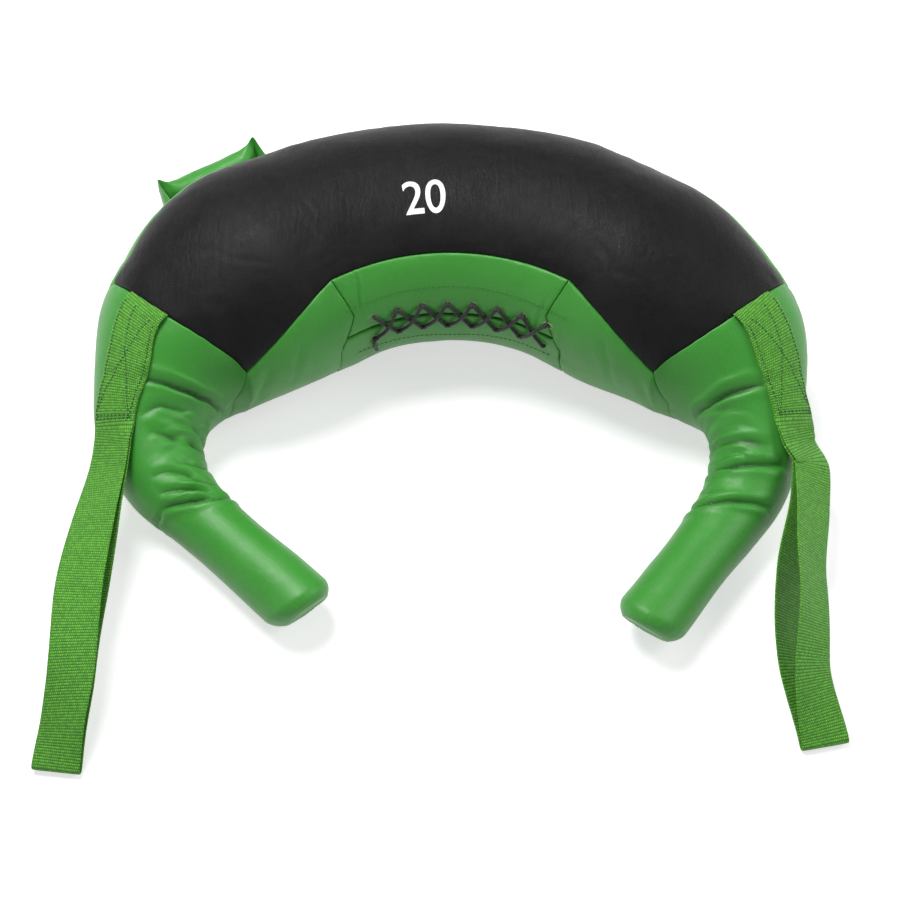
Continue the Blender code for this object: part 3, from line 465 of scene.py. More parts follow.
# %% Handling and weave groups
def handling_group():
    """Patches rubbed dull or bright, from -0.5 to 0.5, and fine scuffs from 0 to 1."""
    inputs = (("Vector", VECTOR, None), ("Patch Size", FLOAT, 0.06), ("Scuff Size", FLOAT, 0.004))
    outputs = (("Patch", FLOAT), ("Scuff", FLOAT))
    tree, start, end = new_group("ShaderNodeTree", "Handling", inputs, outputs)
    vector = start.outputs["Vector"]
    wide = maths(tree, "DIVIDE", 1.0, start.outputs["Patch Size"])
    patch = noise(tree, vector, wide, 3.0, Distortion=0.4)
    thin = maths(tree, "DIVIDE", 1.0, start.outputs["Scuff Size"])
    turned = {"Vector": vector, "Rotation": (0.0, 0.0, 0.6), "Scale": (0.16, 1.0, 1.0)}
    drawn = add_node(tree, "ShaderNodeMapping", turned)
    scuff = noise(tree, drawn.outputs[0], thin, 4.0)
    tree.links.new(maths(tree, "SUBTRACT", patch.outputs["Fac"], 0.5), end.inputs["Patch"])
    tree.links.new(ranged(tree, scuff.outputs["Fac"], 0.60, 0.78), end.inputs["Scuff"])
    return tree


def weave_group():
    """Plain weave on a run and an across length; rows of threads that pass over and under."""
    inputs = (
        ("Run", FLOAT, 0.0), ("Across", FLOAT, 0.0), ("Rib Pitch", FLOAT, 0.0019),
        ("Thread Pitch", FLOAT, 0.0012),
    )
    outputs = (("Height", FLOAT), ("Thread", FLOAT))
    tree, start, end = new_group("ShaderNodeTree", "Weave", inputs, outputs)
    row = maths(tree, "DIVIDE", start.outputs["Run"], start.outputs["Rib Pitch"])
    odd = maths(tree, "FLOORED_MODULO", maths(tree, "FLOOR", row), 2.0)
    lane = maths(tree, "DIVIDE", start.outputs["Across"], start.outputs["Thread Pitch"])
    column = maths(tree, "ADD", lane, maths(tree, "MULTIPLY", odd, 0.5))
    along, beside = humps(tree, row), humps(tree, column)
    bead = maths(tree, "MULTIPLY_ADD", maths(tree, "POWER", beside, 0.8), 0.85, 0.15)
    height = maths(tree, "MULTIPLY", maths(tree, "POWER", along, 0.7), bead)
    floors = {0: maths(tree, "FLOOR", column), 1: maths(tree, "FLOOR", row)}
    place = {"Vector": add_node(tree, "ShaderNodeCombineXYZ", floors).outputs[0]}
    random = add_node(tree, "ShaderNodeTexWhiteNoise", place, noise_dimensions="2D")
    tree.links.new(height, end.inputs["Height"])
    tree.links.new(random.outputs["Value"], end.inputs["Thread"])
    return tree


HANDLING, WEAVE = handling_group(), weave_group()
print("groups", HANDLING.name, "and", WEAVE.name)

# %% [markdown]
# The leather is a coated one: a smooth, slightly glossy film with a very fine grain, darker in
# the pores and duller where hands rub it. Black and green are the same material with other
# numbers, so one function makes both. The webbing, the lace and the thread read the weave along
# their own length, from a UV map in metres, so that the ribs follow every bend.

# %% Leather and plain finishes
def new_material(name, roughness):
    material = bpy.data.materials.new(name)
    material.use_nodes = True
    shader = material.node_tree.nodes["Principled BSDF"]
    shader.inputs["Roughness"].default_value = roughness
    return material, material.node_tree, shader


def mix_colour(tree, factor, first, second):
    inputs = {0: factor, 6: first, 7: second}
    return add_node(tree, "ShaderNodeMix", inputs, data_type="RGBA").outputs[2]


def leather_material(
    name, colour, worn, pore_and_shade, roughness, grain, depth, spread, shine=0.5, streak=0.0
):
    """Coated leather: colour between two tones, dark pores, uneven gloss and grain, and painted shade in
    the depth of its folds.
    """
    material, tree, shader = new_material(name, roughness)
    shader.inputs["Specular IOR Level"].default_value = shine
    here = add_node(tree, "ShaderNodeTexCoord").outputs["Object"]
    sizes = {"Vector": here, "Grain Size": grain, "Crease Size": 0.024, "Crease Share": 0.35}
    grained = use_group(tree, GRAIN, sizes)
    handled = use_group(tree, HANDLING, {"Vector": here})
    patch = maths(tree, "ADD", maths(tree, "MULTIPLY", handled.outputs["Patch"], 1.5), 0.45)
    tone = mix_colour(tree, patch, (*colour, 1), (*worn, 1))
    shade = maths(tree, "MULTIPLY", grained.outputs["Crack"], 0.5)
    toned = mix_colour(tree, shade, tone, (*pore_and_shade, 1))
    # Painted shade: deep in each fold the colour is darkened towards 0.3 times the pore colour.
    crease_shade = add_node(tree, "ShaderNodeAttribute", attribute_name="crease").outputs["Fac"]
    toned = mix_colour(tree, crease_shade, toned, tuple(0.30 * v for v in pore_and_shade) + (1,))
    tree.links.new(toned, shader.inputs["Base Color"])
    rough = maths(tree, "MULTIPLY_ADD", handled.outputs["Patch"], spread, roughness)
    rough = maths(tree, "MULTIPLY_ADD", handled.outputs["Scuff"], 0.08, rough)
    tree.links.new(rough, shader.inputs["Roughness"])
    height = maths(tree, "MULTIPLY_ADD", grained.outputs["Streak"], streak, grained.outputs["Height"])
    bump = add_node(tree, "ShaderNodeBump", {"Strength": 0.55, "Distance": depth, "Height": height})
    tree.links.new(bump.outputs["Normal"], shader.inputs["Normal"])
    return material


LEATHER_GREEN = leather_material(
    "green_leather", (0.040, 0.262, 0.028), (0.056, 0.300, 0.042), (0.026, 0.175, 0.018),
    roughness=0.40, grain=0.0010, depth=0.00012, spread=0.16, shine=0.38,
)
LEATHER_BLACK = leather_material(
    "black_leather", (0.0085, 0.0085, 0.0092), (0.015, 0.0147, 0.015), (0.0035, 0.0035, 0.0042),
    roughness=0.40, grain=0.0012, depth=0.00024, spread=0.26, shine=0.100, streak=3.8,
)
RAW_EDGE = leather_material(
    "cut_edge", (0.42, 0.36, 0.24), (0.52, 0.46, 0.33), (0.20, 0.16, 0.10),
    roughness=0.85, grain=0.0006, depth=0.0002, spread=0.1,
)
print("leather:", LEATHER_GREEN.name, LEATHER_BLACK.name, RAW_EDGE.name)

# %% Woven and plain finishes
def woven_material(name, dark, light, roughness, rib, thread, depth):
    """Threads in two tones, with painted shade in the hollows between them, on the piece's own UV map in
    metres.
    """
    material, tree, shader = new_material(name, roughness)
    place = add_node(tree, "ShaderNodeUVMap", uv_map="weave").outputs["UV"]
    split = add_node(tree, "ShaderNodeSeparateXYZ", {0: place})
    sizes = {"Rib Pitch": rib, "Thread Pitch": thread}
    woven = use_group(tree, WEAVE, {"Run": split.outputs[1], "Across": split.outputs[0], **sizes})
    uneven = maths(tree, "MULTIPLY", woven.outputs["Thread"], 0.45)
    tone = mix_colour(tree, uneven, (*light, 1), (*dark, 1))
    # Painted shade: the low places between the threads are darkened towards the dark tone.
    low = ranged(tree, woven.outputs["Height"], 0.05, 0.80, 1.0, 0.0)
    gap_shaded = mix_colour(tree, maths(tree, "MULTIPLY", low, 0.95), tone, (*dark, 1))
    tree.links.new(gap_shaded, shader.inputs["Base Color"])
    bumps = {"Strength": 0.8, "Distance": depth, "Height": woven.outputs["Height"]}
    bump = add_node(tree, "ShaderNodeBump", bumps)
    tree.links.new(bump.outputs["Normal"], shader.inputs["Normal"])
    shader.inputs["Sheen Weight"].default_value = 0.15
    shader.inputs["Sheen Roughness"].default_value = 0.4
    return material


def plain_material(name, colour, other, roughness, size, depth):
    """A matte finish with two tones and a fine surface, for thread, wool, ink and plastic."""
    material, tree, shader = new_material(name, roughness)
    here = add_node(tree, "ShaderNodeTexCoord").outputs["Object"]
    spots = noise(tree, here, 1 / size, 4.0, Roughness=0.6).outputs["Fac"]
    tone = mix_colour(tree, ranged(tree, spots, 0.35, 0.65), (*colour, 1), (*other, 1))
    tree.links.new(tone, shader.inputs["Base Color"])
    bump = add_node(tree, "ShaderNodeBump", {"Strength": 0.7, "Distance": depth, "Height": spots})
    tree.links.new(bump.outputs["Normal"], shader.inputs["Normal"])
    return material


RIB_PITCH, THREAD_PITCH = 0.0023, 0.0017
WEBBING_GREEN = woven_material(
    "green_webbing", (0.011, 0.085, 0.0030), (0.110, 0.430, 0.018),
    roughness=0.68, rib=RIB_PITCH, thread=THREAD_PITCH, depth=0.0004,
)
LACE_BLACK = woven_material(
    "black_lace", (0.003, 0.003, 0.003), (0.016, 0.016, 0.017),
    roughness=0.62, rib=0.0011, thread=0.0009, depth=0.0002,
)
SANDBAG_CLOTH = woven_material(
    "bag_cloth", (0.20, 0.16, 0.11), (0.42, 0.36, 0.27),
    roughness=0.9, rib=0.0009, thread=0.0009, depth=0.0002,
)
SEWN = {"roughness": 0.55, "size": 0.0004, "depth": 0.0001}
THREAD_GREEN = plain_material("green_thread", (0.012, 0.115, 0.010), (0.024, 0.170, 0.018), **SEWN)
THREAD_DARK = plain_material("tab_thread", (0.004, 0.050, 0.012), (0.008, 0.080, 0.020), **SEWN)
PADDING_WOOL = plain_material(
    "packed_wool", (0.48, 0.45, 0.40), (0.36, 0.34, 0.31), roughness=0.95, size=0.003, depth=0.001
)
DISC_BLACK = plain_material(
    "black_disc", (0.008, 0.008, 0.008), (0.012, 0.012, 0.012), roughness=0.45, size=0.001, depth=0.00005
)
INK_WHITE = plain_material(
    "white_ink", (0.80, 0.81, 0.84), (0.72, 0.73, 0.77), roughness=0.5, size=0.002, depth=0.00005
)
print("woven and plain finishes:", len(bpy.data.materials), "materials in the file")

# %% [markdown]
# The leather of the body is cut in panels that are sewn edge to edge and turned inside out, so
# each panel rolls down into its seam and a flange of it stands inside. Here a panel is a closed
# shell with a real wall: an outer grid and an inner grid, whose border goes down as the flange.
# The grid has more lines near its edges, where the leather rolls. A single surface with a
# modifier would be quicker, but its edges would be open or square.

# %% Mesh helpers
SEAM_GAP = 0.0003
LEATHER = 0.0015
FLANGE = 0.006
ROLL, ROLL_DROP = 0.0026, 0.0016
TENSION, TENSION_REACH = 0.0013, 0.008
FIELDS = {"FLOAT": "value", "FLOAT_VECTOR": "vector"}


def add_object(name, data):
    made = bpy.data.objects.new(name, data)
    bpy.context.scene.collection.objects.link(made)
    return made


def mesh_piece(name, points, faces, material):
    """A smooth closed mesh object whose faces point outwards."""
    points = np.asarray(points, float)
    faces = np.asarray(faces)
    corners = points[faces]
    volume = np.einsum("ij,ij->i", corners[:, 0], np.cross(corners[:, 1], corners[:, 2])).sum()
    volume += np.einsum("ij,ij->i", corners[:, 0], np.cross(corners[:, 2], corners[:, 3])).sum()
    if volume < 0:
        faces = faces[:, ::-1]
    mesh = bpy.data.meshes.new(name)
    mesh.from_pydata(points.tolist(), [], faces.tolist())
    mesh.polygons.foreach_set("use_smooth", np.ones(len(mesh.polygons), bool))
    mesh.materials.append(material)
    return add_object(name, mesh)


def point_values(piece, name, kind, values):
    """Keeps a number or a direction for each point of a piece, for its node tree or material."""
    layer = piece.data.attributes.new(name, kind, "POINT")
    layer.data.foreach_set(FIELDS[kind], np.ascontiguousarray(values, np.float32).ravel())


def keep_modified(piece, modifier):
    """Makes what a modifier gives a piece its own plain mesh, and removes the modifier."""
    graph = bpy.context.evaluated_depsgraph_get()
    made = bpy.data.meshes.new_from_object(piece.evaluated_get(graph))
    piece.modifiers.remove(modifier)
    piece.data = made


def grid_faces(rows, columns, wrap=False, loop=False):
    """The four corners of each face of a grid; wrap joins its columns, loop joins its rows."""
    counts = (rows if loop else rows - 1, columns if wrap else columns - 1)
    i, j = (place.ravel() for place in np.indices(counts))
    next_i, next_j = (i + 1) % rows, (j + 1) % columns
    corners = ((i, j), (next_i, j), (next_i, next_j), (i, next_j))
    return np.stack([row * columns + column for row, column in corners], -1)


def shell(name, outer, inner, material):
    """A closed wall between two grids of the same size, joined all round their border."""
    rows, columns = outer.shape[:2]
    count = rows * columns
    top = grid_faces(rows, columns)
    border = [*range(columns)] + [i * columns + columns - 1 for i in range(1, rows)]
    border += [(rows - 1) * columns + j for j in range(columns - 2, -1, -1)]
    border += [i * columns for i in range(rows - 2, 0, -1)]
    border = np.array(border)
    after = np.roll(border, -1)
    side = np.stack([border, after, after + count, border + count], -1)
    faces = np.concatenate([top, top[:, ::-1] + count, side])
    points = np.concatenate([outer.reshape(-1, 3), inner.reshape(-1, 3)])
    return mesh_piece(name, points, faces, material)


def tube(name, rings, material):
    """A closed band of rings, each joined round itself and the last to the first."""
    rows, columns = rings.shape[:2]
    faces = grid_faces(rows, columns, wrap=True, loop=True)
    return mesh_piece(name, rings.reshape(-1, 3), faces, material)


def finish(piece, body, slot, nodes=()):
    """Says which body a piece moves with, which slot it is of and which solids it stands for."""
    if body:
        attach(piece, body)
    if nodes:
        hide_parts(*nodes)
    solids = ", ".join(nodes) or "no solid"
    print(f"{piece.name}: {len(piece.data.polygons)} faces, {slot}, for {solids}")


def edge_lines(length, spacing):
    """Shares from 0 to 1 across a panel, closer together at both edges."""
    near = np.array([0.0, 0.0004, 0.0009, 0.0015, 0.0024, 0.0038]) / length
    count = max(int(length * (1 - 2 * near[-1]) / spacing), 3)
    middle = np.linspace(near[-1], 1 - near[-1], count)
    return np.concatenate([near[:-1], middle, 1 - near[:-1][::-1]])


def seam_dip(away, place):
    """How far leather drops this far from its seam: a rolled edge and the pull of the thread."""
    share = np.clip(1 - away / ROLL, 0, 1)
    rolled = ROLL_DROP * (1 - np.sqrt(1 - share**2))
    pucker = 0.65 + 0.5 * soft_noise(place, 0.0095, 8)
    return rolled + TENSION * pucker * np.exp(-away / TENSION_REACH)


print("mesh helpers ready")

# %% Panel layout
INNER_SEAM, CORNER_SEAM = math.radians(40), math.radians(16)
OUTER_SEAM, OUTER_BASE_SEAM, INNER_BASE_SEAM = np.radians([140, 230, 310])
LACED_SHARE = 0.53
LACED_SPLIT, SPLIT_HALF = math.radians(3), math.radians(0.7)
END_SEAM_SHARES = (
    (16, 0.909), (23, 0.929), (30, 0.952), (37, 0.974), (45, 0.993), (58, 1.009), (70, 1.014),
    (82, 1.014), (96, 1.007), (112, 0.994), (140, 0.971), (230, 0.99), (310, 1.03), (355, 1.05),
    (376, 0.909),
)


def end_seam_at(angle):
    """The station where the shoulder leather begins; it dips to a point on the inner side."""
    degrees = (np.degrees(angle) - 16) % 360 + 16
    places, shares = np.array(END_SEAM_SHARES).T
    return END_SEAM * np.interp(degrees, places, shares)


def top_inner_seam(row):
    slide = np.clip((np.abs(row) - LACED_SHARE) / (1 - LACED_SHARE), 0, 1)
    return INNER_SEAM + (CORNER_SEAM - INNER_SEAM) * slide


def body_panel(name, rows, low, high, spacing, material):
    """A panel over rows along the bag (0 at the crown, 1 at the end seam) and angles round it."""
    length = (rows[1] - rows[0]) * END_SEAM
    down = edge_lines(length, spacing) * (rows[1] - rows[0]) + rows[0]
    low, high = (f(down) if callable(f) else np.full(down.shape, f) for f in (low, high))
    girth = float((high - low).max() * half_height(0.0))
    share = edge_lines(girth, spacing)
    inset = SEAM_GAP / 2 / half_height(0.0)
    angle = (low + inset)[:, None] + share * (high - low - 2 * inset)[:, None]
    station = down[:, None] * end_seam_at(angle)
    along = np.minimum(down - rows[0], rows[1] - down)[:, None] * END_SEAM
    around = np.minimum(angle - angle[:, :1], angle[:, -1:] - angle) * half_height(station)
    dip = seam_dip(np.minimum(along, around), skin(station, angle))
    lift = relief(station, angle) - dip
    border = np.ones(angle.shape, bool)
    border[1:-1, 1:-1] = False
    wall = np.where(border, FLANGE, LEATHER)
    ends = np.zeros(down.shape)
    ends[0], ends[-1] = SEAM_GAP / 2, -SEAM_GAP / 2
    station = station + ends[:, None]
    outer, inner = skin(station, angle, lift), skin(station, angle, lift - wall)
    return shell(name, outer, inner, material)


FINE, MEDIUM, COARSE = 0.0017, 0.0024, 0.0042
top = body_panel("top_leather", (-1, 1), top_inner_seam, OUTER_SEAM, MEDIUM, LEATHER_BLACK)
finish(top, "bag", "leather_black", ["top_panel"])
rim = body_panel("rim_leather", (-1, 1), OUTER_SEAM, OUTER_BASE_SEAM, MEDIUM, LEATHER_GREEN)
finish(rim, "bag", "leather_green", ["rim_panel"])
under = body_panel("base_leather", (-1, 1), OUTER_BASE_SEAM, INNER_BASE_SEAM, COARSE, LEATHER_BLACK)
finish(under, "bag", "leather_black", ["base_panel"])
for side, sign in SIDES.items():
    rows = sorted((sign * LACED_SHARE, sign * 1.0))
    low = INNER_BASE_SEAM - math.tau
    panel = body_panel(f"{side}_inner_leather", rows, low, top_inner_seam, MEDIUM, LEATHER_GREEN)
    finish(panel, "bag", "leather_green", [f"{side}_inner_panel"])

# %% [markdown]
# The middle of the inner side is the filling slit: two flaps that nearly meet, with a row of
# punched holes along each and a lace crossed between them. The holes are cut with a Boolean,
# as a punch would, because holes drawn in a material would show no edge. A tongue of leather
# behind the slit keeps the filling in.

# %% Laced flaps with punched holes
LACE_PAIRS, LACE_PITCH, LACE_SHIFT = 8, 0.037, 0.015
HIGH_HOLES, LOW_HOLES = math.radians(11), math.radians(-5)
HOLE_WIDE, HOLE_TALL, HOLE_SIDES = 0.0037, 0.0027, 20
PUNCH_REACH = (0.004, -0.009)
hole_stations = [
    LACE_SHIFT + (pair - (LACE_PAIRS - 1) / 2) * LACE_PITCH for pair in range(LACE_PAIRS)
]


def hole_ring(station, angle, lift, wide, tall):
    """An oval ring of points on the leather, this wide along the bag and this tall round it."""
    turn = np.linspace(0, math.tau, HOLE_SIDES, endpoint=False)
    scale = 1 - half_width(station) * math.cos(angle) / CROWN_RADIUS
    stations = station + wide * np.cos(turn) / scale
    return leather(stations, angle + tall * np.sin(turn) / half_height(station), lift)


def punch_holes(piece, angle):
    """Cuts the row of holes out of a flap and keeps the result as a plain mesh."""
    points, faces = [], []
    for station in hole_stations:
        start = len(points)
        for lift in PUNCH_REACH:
            points += hole_ring(station, angle, lift, HOLE_WIDE, HOLE_TALL).tolist()
        for k in range(HOLE_SIDES):
            after = (k + 1) % HOLE_SIDES
            faces.append((start + k, start + after, start + HOLE_SIDES + after, start + HOLE_SIDES + k))
        faces.append([start + k for k in range(HOLE_SIDES)][::-1])
        faces.append([start + HOLE_SIDES + k for k in range(HOLE_SIDES)])
    mesh = bpy.data.meshes.new("punch")
    mesh.from_pydata(points, [], faces)
    punch = add_object("punch", mesh)
    cut = piece.modifiers.new("holes", "BOOLEAN")
    cut.object, cut.operation, cut.solver = punch, "DIFFERENCE", "EXACT"
    keep_modified(piece, cut)
    bpy.data.objects.remove(punch, do_unlink=True)


laced = (-LACED_SHARE, LACED_SHARE)
flaps = (
    ("upper_flap", LACED_SPLIT + SPLIT_HALF, INNER_SEAM, HIGH_HOLES),
    ("lower_flap", INNER_BASE_SEAM - math.tau, LACED_SPLIT - SPLIT_HALF, LOW_HOLES),
)
for name, low, high, holes in flaps:
    flap = body_panel(f"{name}_leather", laced, low, high, FINE, LEATHER_GREEN)
    punch_holes(flap, holes)
    finish(flap, "bag", "leather_green", [name])
TONGUE_REACH, TONGUE_DEGREES, TONGUE_DEPTHS = 0.44, (-32, 22), (0.0102, 0.0114)
rows = np.linspace(-TONGUE_REACH, TONGUE_REACH, 60)[:, None]
angles = np.radians(np.linspace(*TONGUE_DEGREES, 24))[None, :]
behind = [skin(rows * END_SEAM, angles, -depth) for depth in TONGUE_DEPTHS]
finish(shell("lacing_tongue", *behind, LEATHER_BLACK), "bag", "leather_black", ["lacing_gusset"])

# %% [markdown]
# From the end seam on, the shoulder, the neck and the grip are one tapering tube of leather. It
# is drawn in at its end over a plastic disc, in small gathers that leave a narrow opening low on
# the far side. The tube is one mesh.

# %% Shoulder, neck and grip leather
ARM_SIDES = 150
SHOULDER_ROWS, NECK_ROWS, GRIP_ROWS = 72, 44, 56
END_ROUNDING = 0.0065
DISC_BACK = 0.0052
OPENING_LENGTH, OPENING_WIDTH, OPENING_REACH = 0.0100, 0.0016, 0.0178
OPENING_TURN = math.radians(-51)
END_SLANT = {"left": 0.0065, "right": 0.0010}
TOP_REACH = {"left": 0.0065, "right": 0.0090}
UNDER_SLANT, SLANT_REACH, SLANT_FULL, END_CORNER = 0.0170, 0.060, 0.012, 0.0055
END_PUSH, END_FLAT = 0.0080, 0.0206
# How deep a fold must be for full painted shade, and how dark that painted shade gets.
CREASE_SHADE_DEPTH, CREASE_SHADE = 0.0026, 0.95
PLEATS, PLEAT_HEIGHT = 19, 0.0012
UP = np.array([0.0, 0.0, 1.0])
arm_angles = np.linspace(0, math.tau, ARM_SIDES, endpoint=False)


def arm_rows(side):
    """Stations and angles of the tube's rows, from the end seam to the start of its rounding."""
    sign = SIDES[side]
    grip_end = GRIP_START + GRIP_LENGTH[side]
    seam = end_seam_at(arm_angles) + SEAM_GAP / 2
    first = edge_lines(SLEEVE_START - END_SEAM, (SLEEVE_START - END_SEAM) / SHOULDER_ROWS)
    rows = [seam + share * (SLEEVE_START - seam) for share in first[:-6]]
    rest = np.concatenate([
        np.linspace(SLEEVE_START, GRIP_START, NECK_ROWS)[1:],
        np.linspace(GRIP_START, grip_end - END_ROUNDING, GRIP_ROWS)[1:],
    ])
    rows += [np.full(ARM_SIDES, at) for at in rest]
    return sign * np.array(rows)


def grip_end(side):
    """Where a grip ends on its axis, and its directions towards the neck space and ahead."""
    sign, end = SIDES[side], GRIP_START + GRIP_LENGTH[side]
    _, _, heading, _ = spine(sign * end)
    level = np.array([-sign * math.sin(heading), -math.cos(heading), 0.0])
    ahead = np.array([sign * math.cos(heading), -math.sin(heading), 0.0])
    return skin(sign * end, 0.0, -GRIP_RADIUS), level, ahead


def circle_over(level):
    """A circle of radius 1 across a grip, with a point for each row of the tube."""
    return np.cos(arm_angles)[:, None] * level + np.sin(arm_angles)[:, None] * UP


def gathered_end(side):
    """Rings that close the grip: round the edge, over the face in gathers, and into the opening."""
    centre, level, ahead = grip_end(side)
    circle = circle_over(level)
    tuck = 2.4 * np.sin(arm_angles * 3 + 0.7) + 1.1 * np.sin(arm_angles * 7)
    pleat = np.abs(np.sin(arm_angles * PLEATS / 2 + tuck))
    radial = level * math.cos(OPENING_TURN) + UP * math.sin(OPENING_TURN)
    tangent = UP * math.cos(OPENING_TURN) - level * math.sin(OPENING_TURN)
    around = (arm_angles - OPENING_TURN)[:, None]
    oval = radial * OPENING_WIDTH * np.cos(around) + tangent * OPENING_LENGTH * np.sin(around)
    middle = radial * OPENING_REACH
    rest = circle * (GRIP_RADIUS - END_CORNER)
    rings = []
    for turn in np.radians([12, 25, 38, 51, 64, 77, 88]):
        radius = GRIP_RADIUS - END_CORNER * (1 - math.cos(turn)) - 0.0007 * math.sin(turn) * pleat
        back = END_ROUNDING * (1 - math.sin(turn))
        rings.append(centre + circle * radius[:, None] - ahead * back)
    for share in (0.12, 0.25, 0.4, 0.55, 0.7, 0.83, 0.93, 1.0):
        fold = (PLEAT_HEIGHT * share * (1 - 0.45 * share) * pleat - 0.0004 * share)[:, None]
        rings.append(centre + rest * (1 - share) + (middle + oval) * share - ahead * fold)
    for inwards, depth in ((0.97, 0.0012), (0.95, 0.0026), (0.96, 0.0042)):
        rings.append(centre + middle + oval * inwards - ahead * depth)
    return np.array(rings)


def paint_crease_shade(piece, stations, angles):
    """Paints shade into the folds: an attribute that is 1 in the depth of a fold; the outer points come
    first in the mesh.
    """
    depth = np.zeros(len(piece.data.vertices))
    depth[: stations.size] = folding(stations, angles)[0].ravel()
    point_values(piece, "crease", "FLOAT", np.clip(depth / CREASE_SHADE_DEPTH, 0, 1) ** 1.6 * CREASE_SHADE)


def end_slanted(side, points):
    """The same points, with the grip's end drawn back below and outside, and full in its middle."""
    centre, level, ahead = grip_end(side)
    away = points - centre
    near = np.clip((away @ ahead + SLANT_REACH) / (SLANT_REACH - SLANT_FULL), 0, 1)
    near = near * near * (3 - 2 * near)
    outwards = 0.5 - 0.5 * np.clip(away @ level / GRIP_RADIUS, -1, 1)
    below = 0.5 - 0.5 * np.clip(away[..., 2] / GRIP_RADIUS, -1, 1)
    drawn = END_SLANT[side] * outwards + UNDER_SLANT * below - TOP_REACH[side] * (1 - below)
    across = np.hypot(away @ level, away[..., 2])
    drawn -= END_PUSH * np.clip((GRIP_RADIUS - across) / (GRIP_RADIUS - END_FLAT), 0, 1)
    return points - (near * drawn)[..., None] * ahead


def arm_leather(side):
    """The tube with its wall: out along the leather, over the grip's end, and back inside."""
    stations = arm_rows(side)
    angles = np.broadcast_to(arm_angles, stations.shape)
    away = np.abs(stations) - end_seam_at(angles)
    lift = relief(stations, angles) - seam_dip(away, skin(stations, angles))
    last = np.abs(stations[-1]).max()
    lift *= np.clip((last + 0.004 - np.abs(stations)) / 0.02, 0.0, 1.0)
    outer = skin(stations, angles, lift)
    inner = skin(stations[::-1], angles, lift[::-1] - LEATHER)
    inner[-1] = skin(stations[0], angles[0], lift[0] - FLANGE)
    rings = end_slanted(side, np.concatenate([outer, gathered_end(side), inner]))
    arm = tube(f"{side}_arm_leather", rings, LEATHER_GREEN)
    # Painted shade in the folds, kept as the crease attribute.
    paint_crease_shade(arm, stations, angles)
    return arm


for side, sign in SIDES.items():
    arm = arm_leather(side)
    neck = [skin(sign * at, 0.0, -half_width(at)).tolist() for at in (SLEEVE_START + 0.004, GRIP_START)]
    worn = [f"{side}_shoulder_panel", f"{side}_neck_sleeve", f"{side}_grip_cover"]
    finish(arm, None, "leather_green", worn)
    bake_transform(arm)
    ahead = np.array(neck[1]) - neck[0]
    shoulder = np.array([v.co for v in arm.data.vertices[: 40 * ARM_SIDES]])
    share = (shoulder - neck[0]) @ ahead / (ahead @ ahead)
    print(side, "neck share over the shoulder at most", round(float(share.max()), 2))

# %% [markdown]
# Behind the opening is a black plastic disc, and inside the leather are the filling's own
# pieces: the wool wrap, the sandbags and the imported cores. Nobody sees them on the finished bag,
# but a part that is opened up, cut or worn through has to show them, so each is a soft form in
# its own finish. They follow the same skin, further in.

# %% End discs and filling
TUBE_SIDES, WOBBLE = 48, 0.0006
PILLOW_SIDES, PILLOW_ROWS = 40, 34
DISC_PROFILE = (
    (0.0, 0.0), (0.0185, 0.0), (0.0195, 0.0004), (0.0200, 0.0012), (0.0195, 0.0022),
    (0.0185, 0.0026), (0.0, 0.0026),
)


def inner_tube(name, stations, depth, wall, material, ends):
    """A soft closed tube inside the skin, this deep and this thick; its ends draw in."""
    share = np.linspace(0, 1, len(stations))[:, None]
    turns = np.linspace(0, math.tau, TUBE_SIDES, endpoint=False)
    stations, angles = np.broadcast_arrays(stations[:, None], turns)
    drawn = ends * (1 - np.clip(np.minimum(share, 1 - share) / 0.16, 0, 1)) ** 2
    soft = WOBBLE * soft_noise(skin(stations, angles), 0.02, 12)
    lift = bulging(stations, angles) - depth - drawn + soft
    outer = skin(stations, angles, lift)
    inner = skin(stations, angles, lift - wall)[::-1]
    return tube(name, np.concatenate([outer, inner]), material)


def pillow(name, start, end, depth, material):
    """A filled cloth bag between two stations, with pinched ends."""
    share = np.linspace(0, 1, PILLOW_ROWS)[:, None]
    turns = np.linspace(0, math.tau, PILLOW_SIDES, endpoint=False)
    stations, angles = np.broadcast_arrays(start + (end - start) * share, turns)
    full = np.sqrt(np.clip(1 - np.abs(2 * share - 1) ** 3.2, 0.004, 1))
    lift = -depth - (half_height(stations) - depth) * (1 - full)
    pinched = 0.0008 * np.sin(9 * angles) * (1 - full)
    grid = skin(stations, angles, lift + bulging(stations, angles) * full + pinched)
    first, last = (np.repeat(grid[k].mean(0)[None], PILLOW_SIDES, 0) for k in (0, -1))
    points = np.concatenate([first, grid.reshape(-1, 3), last])
    faces = grid_faces(PILLOW_ROWS + 2, PILLOW_SIDES, wrap=True)
    piece = mesh_piece(name, points, faces, material)
    runs = np.concatenate([[start], stations[:, 0], [end]])[:, None]
    weave_map(piece, np.stack(np.broadcast_arrays(turns * 0.07, runs), -1).reshape(-1, 2))
    return close_poles(piece)


def weave_map(piece, places):
    """A UV map in metres, from the place across and the run of each point."""
    layer = piece.data.uv_layers.new(name="weave")
    corner = np.empty(len(piece.data.loops), int)
    piece.data.loops.foreach_get("vertex_index", corner)
    layer.data.foreach_set("uv", np.ascontiguousarray(places[corner], np.float32).ravel())


def close_poles(piece):
    """Merges the points of each pole into one, and drops the faces that have no area."""
    mesh = bmesh.new()
    mesh.from_mesh(piece.data)
    bmesh.ops.remove_doubles(mesh, verts=mesh.verts, dist=1e-6)
    bmesh.ops.dissolve_degenerate(mesh, edges=mesh.edges, dist=1e-7)
    mesh.to_mesh(piece.data)
    mesh.free()
    return piece


def end_disc(side):
    """A round disc with a soft rim, behind the grip's opening and slanted as its end is."""
    centre, level, ahead = grip_end(side)
    circle = circle_over(level)
    rings = [centre + circle * radius - ahead * (DISC_BACK + back) for radius, back in DISC_PROFILE]
    faces = grid_faces(len(rings), ARM_SIDES, wrap=True)
    rings = end_slanted(side, np.array(rings)).reshape(-1, 3)
    return close_poles(mesh_piece(f"{side}_disc", rings, faces, DISC_BLACK))


